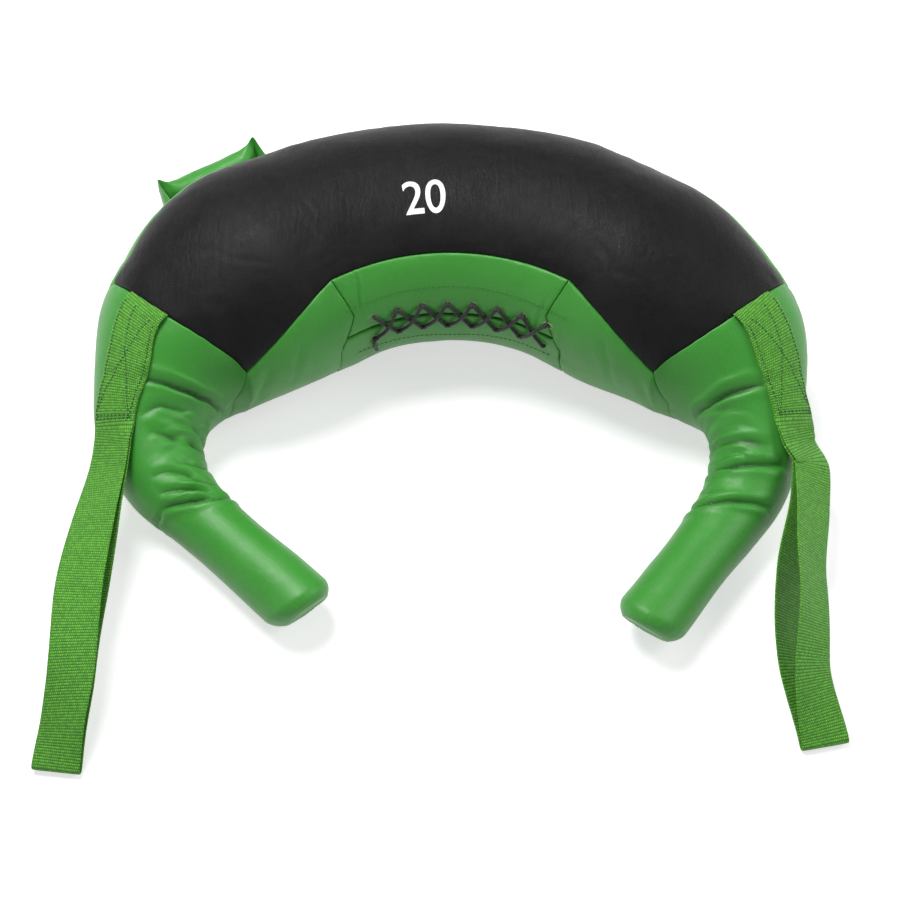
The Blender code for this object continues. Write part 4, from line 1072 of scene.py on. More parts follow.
def add_sandbag(name, start, end, depth):
    bag = pillow(f"{name}_sand", start, end, depth, SANDBAG_CLOTH)
    finish(bag, "bag", "sandbag_cloth", [f"{name}_sandbag"])


for side, sign in SIDES.items():
    finish(end_disc(side), f"{side}_grip", "disc_black", [f"{side}_end_disc"])
    start, end = sign * (SLEEVE_START + 0.036), sign * (GRIP_START + GRIP_LENGTH[side] - 0.011)
    core = pillow(f"{side}_grip_wool", start, end, 0.0052, PADDING_WOOL)
    points = end_slanted(side, np.array([v.co for v in core.data.vertices]))
    core.data.vertices.foreach_set("co", points.astype(np.float32).ravel())
    finish(core, f"{side}_grip", "padding_wool", [f"{side}_grip_core"])
    start, end = sign * (END_SEAM + 0.098), sign * (SLEEVE_START + 0.026)
    plug = pillow(f"{side}_neck_wool", start, end, 0.0105, PADDING_WOOL)
    finish(plug, "bag", "padding_wool", [f"{side}_neck_stuffing"])
    stations = sign * np.linspace(END_SEAM + 0.020, SLEEVE_START - 0.008, 40)
    wrap = inner_tube(f"{side}_shoulder_wool", stations, 0.0068, 0.0085, PADDING_WOOL, 0.003)
    finish(wrap, "bag", "padding_wool", [f"{side}_shoulder_padding"])
    add_sandbag(f"{side}_shoulder", sign * (END_SEAM + 0.010), sign * (END_SEAM + 0.092), 0.0190)
    add_sandbag(f"{side}_middle", sign * 0.112, sign * 0.276, 0.0265)
add_sandbag("centre", -0.106, 0.106, 0.0265)
wrap = inner_tube("body_wool", np.linspace(-0.268, 0.268, 90), 0.0128, 0.0105, PADDING_WOOL, 0.004)
finish(wrap, "bag", "padding_wool", ["body_padding"])

# %% [markdown]
# The straps are polypropylene webbing: a flat weave whose thick cross threads stand up as ribs
# and make its edges serrated. It is too thin and too regular for cloth simulation, so it is laid
# out directly, as strips with a real wall that carry their run and their width as attributes.
# Geometry Nodes then raise the ribs along every strip, at one pitch, whatever its shape.

# %% Rib tree
GEOMETRY, MATERIAL, WHOLE = "NodeSocketGeometry", "NodeSocketMaterial", "NodeSocketInt"


def attribute(tree, name, kind="FLOAT"):
    made = add_node(tree, "GeometryNodeInputNamedAttribute", {"Name": name}, data_type=kind)
    return made.outputs["Attribute"]


def geometry_tree(name, inputs):
    """A geometry tree that also takes a mesh and a material, and its start and end."""
    inputs = (("Geometry", GEOMETRY, None), *inputs, ("Material", MATERIAL, None))
    return new_group("GeometryNodeTree", name, inputs, (("Geometry", GEOMETRY),))


def end_tree(tree, start, end, geometry):
    """Makes instances real, gives all of it the material and closes the tree."""
    real = add_node(tree, "GeometryNodeRealizeInstances", {"Geometry": geometry})
    inputs = {"Geometry": real.outputs[0], "Material": start.outputs["Material"]}
    painted = add_node(tree, "GeometryNodeSetMaterial", inputs)
    tree.links.new(painted.outputs[0], end.inputs[0])
    return tree


def rib_tree():
    """Moves each point out along its own direction by a rib that follows the run."""
    inputs = (
        ("Rib Pitch", FLOAT, 0.0019), ("Rib Height", FLOAT, 0.0003), ("Unevenness", FLOAT, 0.25),
        ("Seed", WHOLE, 3),
    )
    tree, start, end = geometry_tree("Webbing Ribs", inputs)
    row = maths(tree, "DIVIDE", attribute(tree, "run"), start.outputs["Rib Pitch"])
    rib = maths(tree, "POWER", humps(tree, row), 0.75)
    whole = add_node(tree, "FunctionNodeFloatToInt", {0: row}).outputs[0]
    drawn = {"ID": whole, "Seed": start.outputs["Seed"]}
    random = add_node(tree, "FunctionNodeRandomValue", drawn, data_type="FLOAT")
    uneven = maths(tree, "MULTIPLY", random.outputs[1], start.outputs["Unevenness"])
    rib = maths(tree, "SUBTRACT", rib, maths(tree, "MULTIPLY", rib, uneven))
    height = maths(tree, "MULTIPLY", rib, start.outputs["Rib Height"])
    offset = vector_maths(tree, "SCALE", {0: attribute(tree, "out", "FLOAT_VECTOR"), "Scale": height})
    moved = {"Geometry": start.outputs["Geometry"], "Offset": offset}
    return end_tree(tree, start, end, add_node(tree, "GeometryNodeSetPosition", moved).outputs[0])


def run_tree(piece, tree, values):
    """Puts a piece through a node tree and keeps the result as its plain mesh."""
    grown = piece.modifiers.new("nodes", "NODES")
    grown.node_group = tree
    inputs = [item for item in tree.interface.items_tree if item.in_out == "INPUT"]
    sockets = {item.name: item.identifier for item in inputs}
    for name, value in values.items():
        grown[sockets[name]] = value
    keep_modified(piece, grown)
    piece.data.polygons.foreach_set("use_smooth", np.ones(len(piece.data.polygons), bool))
    return piece


RIBS = rib_tree()
names = [item.name for item in RIBS.interface.items_tree if item.in_out == "INPUT"]
print("tree", RIBS.name, "with inputs", names)

# %% Webbing strips
WEBBING, WEBBING_WIDTH = 0.0018, 0.038
RIB_HEIGHT = 0.00034
STRIP_COLUMNS = 21


def strip_rings(middle, out, thickness):
    """Rings round a strip, from its middle surface and the outward direction at each point."""
    across = unit(middle[:, -1] - middle[:, 0])[:, None]
    half = thickness / 2
    soft = np.minimum(1.0, np.abs(np.linspace(-1, 1, middle.shape[1])) ** 8)[None, :, None]
    top = middle + out * half * (1 - 0.35 * soft)
    bottom = (middle - out * half * (1 - 0.35 * soft))[:, ::-1]
    edge = half * 0.45
    left, right = middle[:, :1] - across * edge, middle[:, -1:] + across * edge
    rings = np.concatenate([top, right, bottom, left], 1)
    outs = np.concatenate([out, across, -out[:, ::-1], -across], 1)
    return rings, outs


def webbing_piece(name, rings, outs, run):
    """A strip of webbing as one ribbed mesh, from its rings and each point's direction and run."""
    rows, columns = rings.shape[:2]
    lanes = np.linspace(-WEBBING_WIDTH / 2, WEBBING_WIDTH / 2, STRIP_COLUMNS)
    lane = np.concatenate([lanes, [WEBBING_WIDTH / 2], lanes[::-1], [-WEBBING_WIDTH / 2]])
    cap = [(k, k + 1, columns - 2 - k, columns - 1 - k) for k in range(columns // 2 - 1)]
    caps = [np.array(cap), np.array(cap)[:, ::-1] + (rows - 1) * columns]
    faces = np.concatenate([grid_faces(rows, columns, wrap=True), *caps])
    piece = mesh_piece(name, rings.reshape(-1, 3), faces, WEBBING_GREEN)
    point_values(piece, "run", "FLOAT", run)
    point_values(piece, "out", "FLOAT_VECTOR", outs)
    weave_map(piece, np.stack(np.broadcast_arrays(lane, run), -1).reshape(-1, 2))
    values = {"Rib Pitch": RIB_PITCH, "Rib Height": RIB_HEIGHT, "Unevenness": 0.25, "Seed": 3}
    return run_tree(piece, RIBS, values | {"Material": WEBBING_GREEN})


print("webbing", WEBBING_WIDTH * 1000, "mm wide, ribs every", RIB_PITCH * 1000, "mm")

# %% Sewn tabs
TAB_LENGTH, TAB_START, TAB_LIFT = 0.074, 0.0065, 0.0008
TAB_ANGLE, TAB_SLANT = math.radians(98), math.radians(18)
PLY_GAP = 0.0003
TAB_SEAM_SHARE = 1.0079
TUCK, DENT_RUN, DENT_DEPTH = 0.010, 0.047, 0.0014
RIB_STEP = RIB_PITCH / 4
TAB_STEP = RIB_STEP / 1.5
TAB_BOW = {"left": 0.0066, "right": 0.0030}


def tab_place(side, run, across):
    """Station and angle of a point on the sewn tab, run along it and across it."""
    run, across = np.broadcast_arrays(np.asarray(run, float), across)
    station = END_SEAM * TAB_SEAM_SHARE + TAB_START + run * math.cos(TAB_SLANT)
    station = station - across * math.sin(TAB_SLANT)
    bow = TAB_BOW[side] * np.sin(math.pi * np.clip(run / TAB_LENGTH, 0, 1)) ** 2
    reach = run * math.sin(TAB_SLANT) + across * math.cos(TAB_SLANT) - bow
    return SIDES[side] * station, TAB_ANGLE + reach / half_height(station)


def tab_start(across):
    """The run at which each lane of the tab comes out from under the end seam."""
    run = np.zeros(np.shape(across))
    for _ in range(8):
        _, angle = tab_place("right", run, across)
        ahead = end_seam_at(angle) + SEAM_GAP - END_SEAM * TAB_SEAM_SHARE - TAB_START
        run = (ahead + across * math.sin(TAB_SLANT)) / math.cos(TAB_SLANT)
    return run


def tab_surface(side, run, across, lift):
    """A point over the tab; near its free end it keeps to the plain skin, where the loop starts."""
    station, angle = tab_place(side, run, across)
    stay = np.clip((TAB_LENGTH - run) / 0.022, 0, 1)
    stay = stay * stay * (3 - 2 * stay)
    tuck = np.clip(1 - (run - tab_start(across)) / TUCK, 0, 1) ** 2
    dent = DENT_DEPTH * np.exp(-(((run - DENT_RUN) / 0.0032) ** 2))
    kept = relief(station, angle) * stay
    return skin(station, angle, kept + lift - tuck * (TAB_LIFT + WEBBING) - dent)


def travel(line):
    """The length travelled along a line of points, at each of them."""
    return np.concatenate([[0.0], np.cumsum(np.linalg.norm(np.diff(line, axis=0), axis=1))])


def tab_ply(side, ply):
    """Middle surface of one ply of a tab, from the end seam down, and the run of each point."""
    lanes = SIDES[side] * np.linspace(WEBBING_WIDTH / 2, -WEBBING_WIDTH / 2, STRIP_COLUMNS)
    even = np.arange(0.0 if ply else TUCK, TAB_LENGTH, TAB_STEP)[:, None]
    run = even + tab_start(lanes) * np.clip(1 - even / 0.034, 0, 1)
    lift = TAB_LIFT + WEBBING / 2 + ply * (WEBBING + PLY_GAP)
    along = np.linspace(-0.03, TAB_LENGTH, 400)
    travelled = travel(tab_surface(side, along, 0.0, lift))
    surface = tab_surface(side, run, np.broadcast_to(lanes, run.shape), lift)
    return surface, np.interp(run, along, travelled - travelled[-1])


# %% Hanging loops
LOOP_REACH = {"left": 0.275, "right": 0.259}
LOOP_SPREAD = {"left": 0.018, "right": 0.0200}
LOOP_ROUTE = {
    "left": (
        (-0.05, 0.0062, -0.0491, 0.3309), (0, 0.0, 0.0, 0.2964), (0.04, 0.0030, 0.0393, 0.2687),
        (0.12, 0.0120, 0.1182, 0.2418), (0.28, 0.0290, 0.2764, 0.2273), (0.55, 0.0500, 0.5527, 0.1927),
        (0.75, 0.0560, 0.7564, 0.1455), (1, 0.0900, 1.0, 0.0164), (1.15, 0.1030, 1.1345, -0.0618),
    ),
    "right": (
        (-0.05, -0.0015, -0.0502, 0.3510), (0, 0.0, 0.0, 0.3147), (0.04, 0.0080, 0.0402, 0.2857),
        (0.12, 0.0430, 0.1178, 0.2529), (0.25, 0.0280, 0.2471, 0.2317), (0.5, -0.0246, 0.5019, 0.1931),
        (0.75, -0.0400, 0.7568, 0.1351), (1, 0.0163, 1.0, 0.0174), (1.15, 0.0386, 1.1429, -0.0579),
    ),
}
LOOP_ROLL = {
    "left": ((0.0, 27.6), (0.04, 27.4), (0.45, 4), (0.72, -10), (1.0, 0)),
    "right": ((0.0, 27.1), (0.04, 27.3), (0.28, 38), (0.50, 46), (0.72, 38), (1.0, 0)),
}
LOOP_CREASE = {"left": 0.8, "right": 0.0}
CREASE_SHARES = ((0.45, 0.0), (0.65, 1.0), (0.85, 1.0), (1.0, 0.0))
LOOP_NOSE, SLACK_POWER = 0.0034, 1.4
LOOP_TURN = WEBBING / 2 + PLY_GAP
BEND_START, BEND_END = -0.002, 0.010


def loop_surface(side, t, across):
    """Middle surface of a loop and its upward direction, at shares t and places across."""
    sign = SIDES[side]
    station, angle = tab_place(side, TAB_LENGTH + 0.0006 + WEBBING / 2, 0.0)
    root = skin(station, angle, TAB_LIFT + WEBBING + PLY_GAP / 2)

    def read(at, column):
        knots = [(knot[0], knot[column]) for knot in LOOP_ROUTE[side]]
        return LOOP_REACH[side] * smooth_curve(knots, at)

    def middle(at):
        return np.stack([root[0] + sign * read(at, 1), root[1] - read(at, 2), read(at, 3)], -1)

    heading = middle(t + LOOP_NOSE) - middle(t - LOOP_NOSE)
    pace = np.linalg.norm(heading, axis=-1, keepdims=True)
    forward = heading / pace
    level = unit(np.stack([-forward[..., 1], forward[..., 0], 0 * t], -1))
    up = np.cross(forward, level)
    roll = np.radians(smooth_curve(LOOP_ROLL[side], t))[..., None]
    rolled = level * np.cos(roll) - up * sign * np.sin(roll)
    crease = LOOP_CREASE[side] * smooth_curve(CREASE_SHARES, t)
    lag = crease * across * sign / pace[..., 0] * 2 * LOOP_NOSE
    fall = read(t + lag, 3) - read(t, 3)
    place = middle(t) + rolled * across[..., None]
    place[..., 2] += fall
    return place, unit(np.cross(forward, rolled))


def loop_outline(side, length):
    """The webbing's middle from the side, out and back: run along the loop, and rise above it."""
    share = np.arange(0.0, 1.0, RIB_STEP / length)
    slack = LOOP_SPREAD[side] / 2 * np.sin(math.pi * share**SLACK_POWER) ** 2
    over = LOOP_TURN + (LOOP_NOSE - LOOP_TURN) * share + slack
    run = share * (length - LOOP_TURN - LOOP_NOSE) + LOOP_TURN
    far = np.linspace(0, math.pi, 24)[1:-1]
    runs = np.concatenate([run, length - LOOP_NOSE + LOOP_NOSE * np.sin(far), run[::-1]])
    return runs, np.concatenate([over, LOOP_NOSE * np.cos(far), -over[::-1]])


JOIN_PASSES, JOIN_REACH = 60, 7


def strap_webbing(side):
    """One strip of webbing: down the tab, out along the loop, over its end, and back up."""
    steps = np.linspace(0.0, 1.0, 80)
    centre, _ = loop_surface(side, steps, 0 * steps)
    length = float(np.linalg.norm(np.diff(centre, axis=0), axis=1).sum())
    runs, rises = loop_outline(side, length)
    lanes = np.linspace(WEBBING_WIDTH / 2, -WEBBING_WIDTH / 2, STRIP_COLUMNS)
    t, across = np.broadcast_arrays((runs / length)[:, None], lanes[None, :])
    place, up = loop_surface(side, t, across)
    ripple = 0.0007 * np.sin(runs / 0.021)[:, None] * np.cos(across / 0.011)
    ripple = ripple * np.sin(math.pi * np.clip(t, 0, 1)) ** 2
    hanging = place - up * (rises[:, None] + ripple)[..., None]
    (lower, lower_run), (upper, upper_run) = tab_ply(side, 0), tab_ply(side, 1)
    middle = np.concatenate([lower, hanging, upper[::-1]])
    for _ in range(JOIN_PASSES):
        evened = (middle[:-2] + middle[2:]) / 2
        for at in (len(lower), len(lower) + len(hanging)):
            start, end = at - JOIN_REACH, at + JOIN_REACH
            middle[start:end] = 0.5 * middle[start:end] + 0.5 * evened[start - 1 : end - 1]
    travelled = travel(middle[:, STRIP_COLUMNS // 2])[:, None] + 0 * middle[..., 0]
    whole = float(travelled[-1, 0])
    travelled[: len(lower)] = lower_run + travelled[len(lower) - 1]
    travelled[-len(upper) :] = travelled[-len(upper)] - upper_run[::-1]
    ahead = unit(np.gradient(middle, axis=0))
    out = unit(np.cross(unit(middle[:, -1:] - middle[:, :1]), ahead))
    rings, outs = strip_rings(middle, out, WEBBING - 2 * RIB_HEIGHT)
    run = np.concatenate([travelled, travelled[:, -1:], travelled[:, ::-1], travelled[:, :1]], 1)
    print(side, "loop hangs", round(length * 1000), "mm, webbing", round(whole * 1000), "mm in all")
    root, further = loop_surface(side, np.array([0.0, 0.03]), np.zeros(2))[0]
    strap = webbing_piece(f"{side}_strap_webbing", rings, outs, run)
    return strap, root, unit(further - root)


for side in SIDES:
    strap, root, leave = strap_webbing(side)
    finish(strap, None, "webbing_green", [f"{side}_strap_tab", f"{side}_strap_loop"])
    start, end = (root + leave * BEND_START).tolist(), (root + leave * BEND_END).tolist()
    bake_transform(strap)

# %% [markdown]
# The lace is one cord that crosses over the slit seven times, goes in and out of the holes, and
# ends loose at the left. Its route repeats the CAD model's, in stations, angles and lifts. The
# cord itself comes from Geometry Nodes: a curve with a round profile, which keeps its thickness
# in every bend. It lies on the leather and is held by its holes, so it isn't a free cord.

# %% Lace route
LACE_RADIUS, LACE_CLEARANCE = 0.0016, 0.0005
CORD_OFFSET = 0.0015 + LACE_CLEARANCE / 2
LEVEL = 0.0035
CROSSING = ((0.0, 0.0), (0.10, 0.15), (0.3, 0.75), (0.5, 1.0), (0.7, 0.75), (0.9, 0.15), (1.0, 0.0))


def lace_strand(top_first):
    """One end of the lace, from the last pair on the right to the first on the left."""
    start, end = (HIGH_HOLES, LOW_HOLES) if top_first else (LOW_HOLES, HIGH_HOLES)
    resting = LACE_RADIUS + 0.0002
    points = []
    for pair in range(LACE_PAIRS - 1, 0, -1):
        first, last = hole_stations[pair] - CORD_OFFSET, hole_stations[pair - 1] + CORD_OFFSET
        for share, climb in CROSSING:
            lift = resting + (LEVEL if top_first else 0.0) * climb
            points.append((first + (last - first) * share, start + (end - start) * share, lift))
        depth = -(0.0042 + (0.0 if top_first else LEVEL * 0.8))
        points.append((hole_stations[pair - 1] + CORD_OFFSET, end, depth))
        points.append((hole_stations[pair - 1] - CORD_OFFSET, start, depth))
    return points


def lace_points():
    over, below = lace_strand(True), lace_strand(False)
    station = hole_stations[-1] - CORD_OFFSET
    turn = [(station, HIGH_HOLES, -0.0042), (station, LOW_HOLES, -0.0042)]
    tail, angle, _ = below[-1]
    loose = [
        (tail, angle, LACE_RADIUS), (tail - 0.001, angle - 0.05, 0.0026),
        (tail + 0.001, angle - 0.13, 0.0018), (tail + 0.004, angle - 0.2, 0.0022),
    ]
    return np.array(over[::-1] + turn + below + loose)


def rounded(points, share=4):
    """A smooth line through points (Catmull and Rom's), with more points between them."""
    padded = np.concatenate([points[:1], points, points[-1:]])
    t = np.arange(share)[:, None] / share
    pieces = []
    for p0, p1, p2, p3 in zip(padded, padded[1:], padded[2:], padded[3:]):
        square, cube = 2 * p0 - 5 * p1 + 4 * p2 - p3, 3 * p1 - p0 - 3 * p2 + p3
        pieces.append(0.5 * (2 * p1 + (p2 - p0) * t + square * t**2 + cube * t**3))
    return np.concatenate([*pieces, points[-1:]])


stops = lace_points()
route = rounded(leather(stops[:, 0], stops[:, 1], stops[:, 2]))
print("lace", len(route), "points,", round(float(travel(route)[-1]) * 1000), "mm long")


# %% Lace tube
def kept_value(tree, geometry, name, value):
    """The same geometry with a value stored for each of its points."""
    inputs = {"Geometry": geometry, "Name": name, "Value": value}
    settings = {"data_type": "FLOAT", "domain": "POINT"}
    return add_node(tree, "GeometryNodeStoreNamedAttribute", inputs, **settings).outputs[0]


def cord_tree():
    """A round cord with closed ends along the edges of a mesh line."""
    inputs = (("Radius", FLOAT, 0.0016), ("Sides", WHOLE, 10))
    tree, start, end = geometry_tree("Round Cord", inputs)
    line = add_node(tree, "GeometryNodeMeshToCurve", {0: start.outputs["Geometry"]}).outputs[0]
    run = add_node(tree, "GeometryNodeSplineParameter").outputs["Length"]
    sizes = {"Resolution": start.outputs["Sides"], "Radius": start.outputs["Radius"]}
    circle = add_node(tree, "GeometryNodeCurvePrimitiveCircle", sizes).outputs[0]
    turn = add_node(tree, "GeometryNodeSplineParameter").outputs["Factor"]
    curves = {
        "Curve": kept_value(tree, line, "run", run),
        "Profile Curve": kept_value(tree, circle, "turn", turn),
        "Fill Caps": True,
    }
    return end_tree(tree, start, end, add_node(tree, "GeometryNodeCurveToMesh", curves).outputs[0])


def line_piece(name, points, closed=False):
    mesh = bpy.data.meshes.new(name)
    edges = [(k, k + 1) for k in range(len(points) - 1)] + ([(len(points) - 1, 0)] if closed else [])
    mesh.from_pydata(np.asarray(points).tolist(), edges, [])
    return add_object(name, mesh)


def map_from_attributes(piece, girth):
    """A weave map from the cord's own run and turn."""
    count = len(piece.data.vertices)
    run, turn = np.zeros(count, np.float32), np.zeros(count, np.float32)
    piece.data.attributes["run"].data.foreach_get("value", run)
    piece.data.attributes["turn"].data.foreach_get("value", turn)
    weave_map(piece, np.stack([turn * girth, run], -1))


CORD = cord_tree()
RIM_RADIUS, RIM_DEPTH, RIM_GAP = 0.00035, 0.0004, 0.0001
values = {"Radius": LACE_RADIUS, "Sides": 12, "Material": LACE_BLACK}
lace = run_tree(line_piece("lace_cord", route), CORD, values)
map_from_attributes(lace, math.tau * LACE_RADIUS)
finish(lace, "bag", "lace_black", ["lace"])
values = {"Radius": RIM_RADIUS, "Sides": 6, "Material": RAW_EDGE}
for row, angle in (("high", HIGH_HOLES), ("low", LOW_HOLES)):
    for k, station in enumerate(hole_stations, 1):
        ring = hole_ring(station, angle, -RIM_DEPTH, HOLE_WIDE + RIM_GAP, HOLE_TALL + RIM_GAP)
        rim_piece = run_tree(line_piece(f"hole_rim_{row}_{k}", ring, True), CORD, values)
        finish(rim_piece, "bag", "leather_green")

# %% [markdown]
# Each side handle is a strip of leather rolled in the middle and left flat where it bends down to
# the rim. Its rings repeat the CAD model's and are smoothed, with a seam along the underside and
# pleats where the roll opens. Its two feet are leather patches sewn on the rim.

# %% Side handles
HANDLE_STATION = {"left": 0.158, "right": 0.190}
HANDLE_FLOP = {"left": math.radians(-15), "right": math.radians(-75)}
HANDLE_LENGTH, HANDLE_STANDOFF, HANDLE_NECK = 0.112, 0.040, 0.007
HANDLE_FLARE, HANDLE_RADIUS, FOOT_TOP = 0.0235, 0.0130, 0.0023
HANDLE_KNOTS = (
    (-0.50, 0.0, 0.0070, 0.0070), (-0.505, 0.30, 0.0085, 0.0055), (-0.51, 0.78, 0.0185, 0.0034),
    (-0.50, 0.985, HANDLE_FLARE, 0.0026), (-0.43, 1.0, 0.0175, 0.0085), (-0.35, 1.0, 0.0140, 0.0122),
    (-0.24, 1.0, HANDLE_RADIUS, HANDLE_RADIUS), (0.0, 1.0, HANDLE_RADIUS, HANDLE_RADIUS),
)
HANDLE_SIDES, KNUCKLE_STEPS = 72, 9


def handle_reach():
    return HANDLE_LENGTH / 2 * CROWN_RADIUS / (CROWN_RADIUS + CROWN_HALF_WIDTH)


def handle_rings(side):
    """Centres, half widths, half thicknesses and wide directions of a handle, end to end."""
    station = SIDES[side] * HANDLE_STATION[side]
    feet = station + np.array([-1, 1]) * handle_reach()
    ends = skin(feet, math.pi, FOOT_TOP + SEAM_GAP + HANDLE_NECK)
    length = np.linalg.norm(ends[1] - ends[0])
    line = (ends[1] - ends[0]) / length
    out = np.cross(line, (0, 0, 1))
    out = out * np.sign(out @ facing(station, math.pi))
    away = out * math.cos(HANDLE_FLOP[side]) + np.array([0, 0, math.sin(HANDLE_FLOP[side])])
    other_half = tuple((-run, *rest) for run, *rest in HANDLE_KNOTS[-2::-1])
    knots = rounded(np.array(HANDLE_KNOTS + other_half), 9)
    centres = ends.mean(0) + line * knots[:, :1] * length + away * knots[:, 1:2] * HANDLE_STANDOFF
    return centres, knots[:, 2], knots[:, 3], np.cross(away, line), away


def handle_surface(side):
    """A handle as rings of points, and the outward direction at each point."""
    centres, width, thick, wide, away = handle_rings(side)
    forward = unit(np.gradient(centres, axis=0))
    forward[0], forward[-1] = away, -away
    normal = unit(np.cross(forward, wide))
    turn = np.linspace(0, math.tau, HANDLE_SIDES, endpoint=False)
    flare = np.clip((width / thick - 1) / 1.4, 0, 1)[:, None]
    rim = 1 + 0.02 * flare * np.cos(9 * turn)[None, :]
    seam = 0.0011 * np.exp(-((((turn - math.pi * 1.5) * HANDLE_RADIUS) / 0.0011) ** 2))[None, :]
    seam = seam * (1 - flare)
    first = (width[:, None] * rim - seam)[..., None] * np.cos(turn)[None, :, None] * wide
    lens = 1 - 0.85 * flare * np.cos(turn)[None, :] ** 2
    second = (thick[:, None] * lens - seam)[..., None] * np.sin(turn)[None, :, None] * normal[:, None]
    surface = centres[:, None] + first + second
    out = unit(first / width[:, None, None] ** 2 + second / thick[:, None, None] ** 2)
    uneven = 0.0007 * soft_noise(surface, 0.022, 31) + 0.00035 * soft_noise(surface, 0.008, 32)
    surface += out * uneven[..., None]
    turns = np.linspace(0, math.pi / 2, KNUCKLE_STEPS + 1)[1:-1]
    near, far = (
        [middle + (ring - middle) * math.cos(t) - away * HANDLE_NECK * math.sin(t) for t in turns]
        for middle, ring in ((centres[0], surface[0]), (centres[-1], surface[-1]))
    )
    surface = np.concatenate([near[::-1], surface, far])
    ends = [np.repeat(out[k][None], KNUCKLE_STEPS - 1, 0) for k in (0, -1)]
    return surface, np.concatenate([ends[0], out, ends[1]])


for side in SIDES:
    surface, _ = handle_surface(side)
    roll = tube(f"{side}_handle_leather", surface, LEATHER_GREEN)
    finish(roll, f"{side}_handle", "leather_green", [f"{side}_side_handle"])

# %% Handle feet
FOOT_LENGTH, FOOT_WIDTH, FOOT_CORNER = 0.030, 0.040, 0.007


def foot_surface(side, way, along, share, lift):
    """A point of a foot, along the bag and at a share of its half width round the rim."""
    centre = HANDLE_STATION[side] + way * handle_reach()
    past = np.clip(np.abs(along) - (FOOT_LENGTH / 2 - FOOT_CORNER), 0, FOOT_CORNER)
    half = FOOT_WIDTH / 2 - FOOT_CORNER + np.sqrt(FOOT_CORNER**2 - past**2)
    return leather(SIDES[side] * (centre + along), math.pi + share * half / half_height(centre), lift)


def foot_leather(side, name, way):
    along = FOOT_LENGTH * (edge_lines(FOOT_LENGTH, 0.0012) - 0.5)[:, None]
    share = (2 * edge_lines(FOOT_WIDTH, 0.0012) - 1)[None, :]
    edge = np.minimum(FOOT_LENGTH / 2 - np.abs(along), (1 - np.abs(share)) * FOOT_WIDTH / 2)
    rolled = 0.0011 * np.clip(1 - edge / 0.0016, 0, 1) ** 2
    outer = foot_surface(side, way, along, share, FOOT_TOP - rolled)
    inner = foot_surface(side, way, along, share, SEAM_GAP)
    return shell(f"{side}_{name}_foot_leather", outer, inner, LEATHER_GREEN)


FEET = (("rear", -1), ("front", 1))
for side in SIDES:
    for name, way in FEET:
        finish(foot_leather(side, name, way), "bag", "leather_green", [f"{side}_handle_{name}_foot"])

# %% [markdown]
# Stitches are instances too: one small thread of a few faces at each point of a row, laid along
# the row and bedded in what it sews. A row only gives its places and directions.

# %% Stitch tree
def stitch_tree():
    """A small thread at each point, along its row and leaning by a random turn."""
    inputs = (
        ("Length", FLOAT, 0.003), ("Radius", FLOAT, 0.0004), ("Wander", FLOAT, 0.06), ("Seed", WHOLE, 5),
    )
    tree, start, end = geometry_tree("Stitch Rows", inputs)
    out, along = (attribute(tree, key, "FLOAT_VECTOR") for key in ("out", "along"))
    axes = {"Primary Axis": out, "Secondary Axis": along}
    pose = add_node(tree, "FunctionNodeAxesToRotation", axes, primary_axis="Z", secondary_axis="X")
    wander, seed = start.outputs["Wander"], {"Seed": start.outputs["Seed"]}
    random = add_node(tree, "FunctionNodeRandomValue", seed, data_type="FLOAT")
    for key, value in (("Min", maths(tree, "MULTIPLY", wander, -1.0)), ("Max", wander)):
        tree.links.new(value, next(s for s in random.inputs if s.name == key and s.type == "VALUE"))
    chance = next(s for s in random.outputs if s.type == "VALUE" and s.enabled)
    turn = add_node(tree, "ShaderNodeCombineXYZ", {"Z": chance}).outputs[0]
    lean = add_node(tree, "FunctionNodeEulerToRotation", {0: turn})
    both = {0: pose.outputs[0], 1: lean.outputs[0]}
    turned = add_node(tree, "FunctionNodeRotateRotation", both, rotation_space="LOCAL")
    ball = {"Segments": 8, "Rings": 6, "Radius": 1.0}
    thread = add_node(tree, "GeometryNodeMeshUVSphere", ball).outputs[0]
    half = maths(tree, "MULTIPLY", start.outputs["Length"], 0.5)
    sizes = {"X": half, "Y": start.outputs["Radius"], "Z": start.outputs["Radius"]}
    size = add_node(tree, "ShaderNodeCombineXYZ", sizes).outputs[0]
    rows = {"Points": start.outputs["Geometry"], "Instance": thread, "Rotation": turned.outputs[0]}
    placed = add_node(tree, "GeometryNodeInstanceOnPoints", rows | {"Scale": size})
    return end_tree(tree, start, end, placed.outputs[0])


def thread_row(points, outs, pitch):
    """Places along a line of points, this far apart, with their directions."""
    travelled = travel(points)
    count = max(int(travelled[-1] / pitch), 1)
    at = (np.arange(count) + 0.5) * travelled[-1] / count
    grids = (points, outs, np.gradient(points, travelled, axis=0))
    return [np.stack([np.interp(at, travelled, grid[:, k]) for k in range(3)], -1) for grid in grids]


def stitched(name, rows, body, slot, material, length=0.0030, radius=0.00042):
    """All the rows of one piece as one mesh of threads."""
    places, ups, runs = (np.concatenate(column) for column in zip(*rows))
    piece = line_piece(name, places)
    point_values(piece, "out", "FLOAT_VECTOR", ups)
    point_values(piece, "along", "FLOAT_VECTOR", runs)
    values = {"Length": length, "Radius": radius, "Wander": 0.06, "Seed": 5, "Material": material}
    run_tree(piece, STITCHES, values)
    finish(piece, body, slot)


def leather_row(line):
    """A row of threads on the leather, along a line of (station, degrees)."""
    line = np.array([(station, math.radians(degrees)) for station, degrees in line])
    share = np.linspace(0, len(line) - 1, 40 * len(line))
    station, angle = (np.interp(share, np.arange(len(line)), line[:, k]) for k in (0, 1))
    return thread_row(leather(station, angle, 0.0001), facing(station, angle), HEM_PITCH)


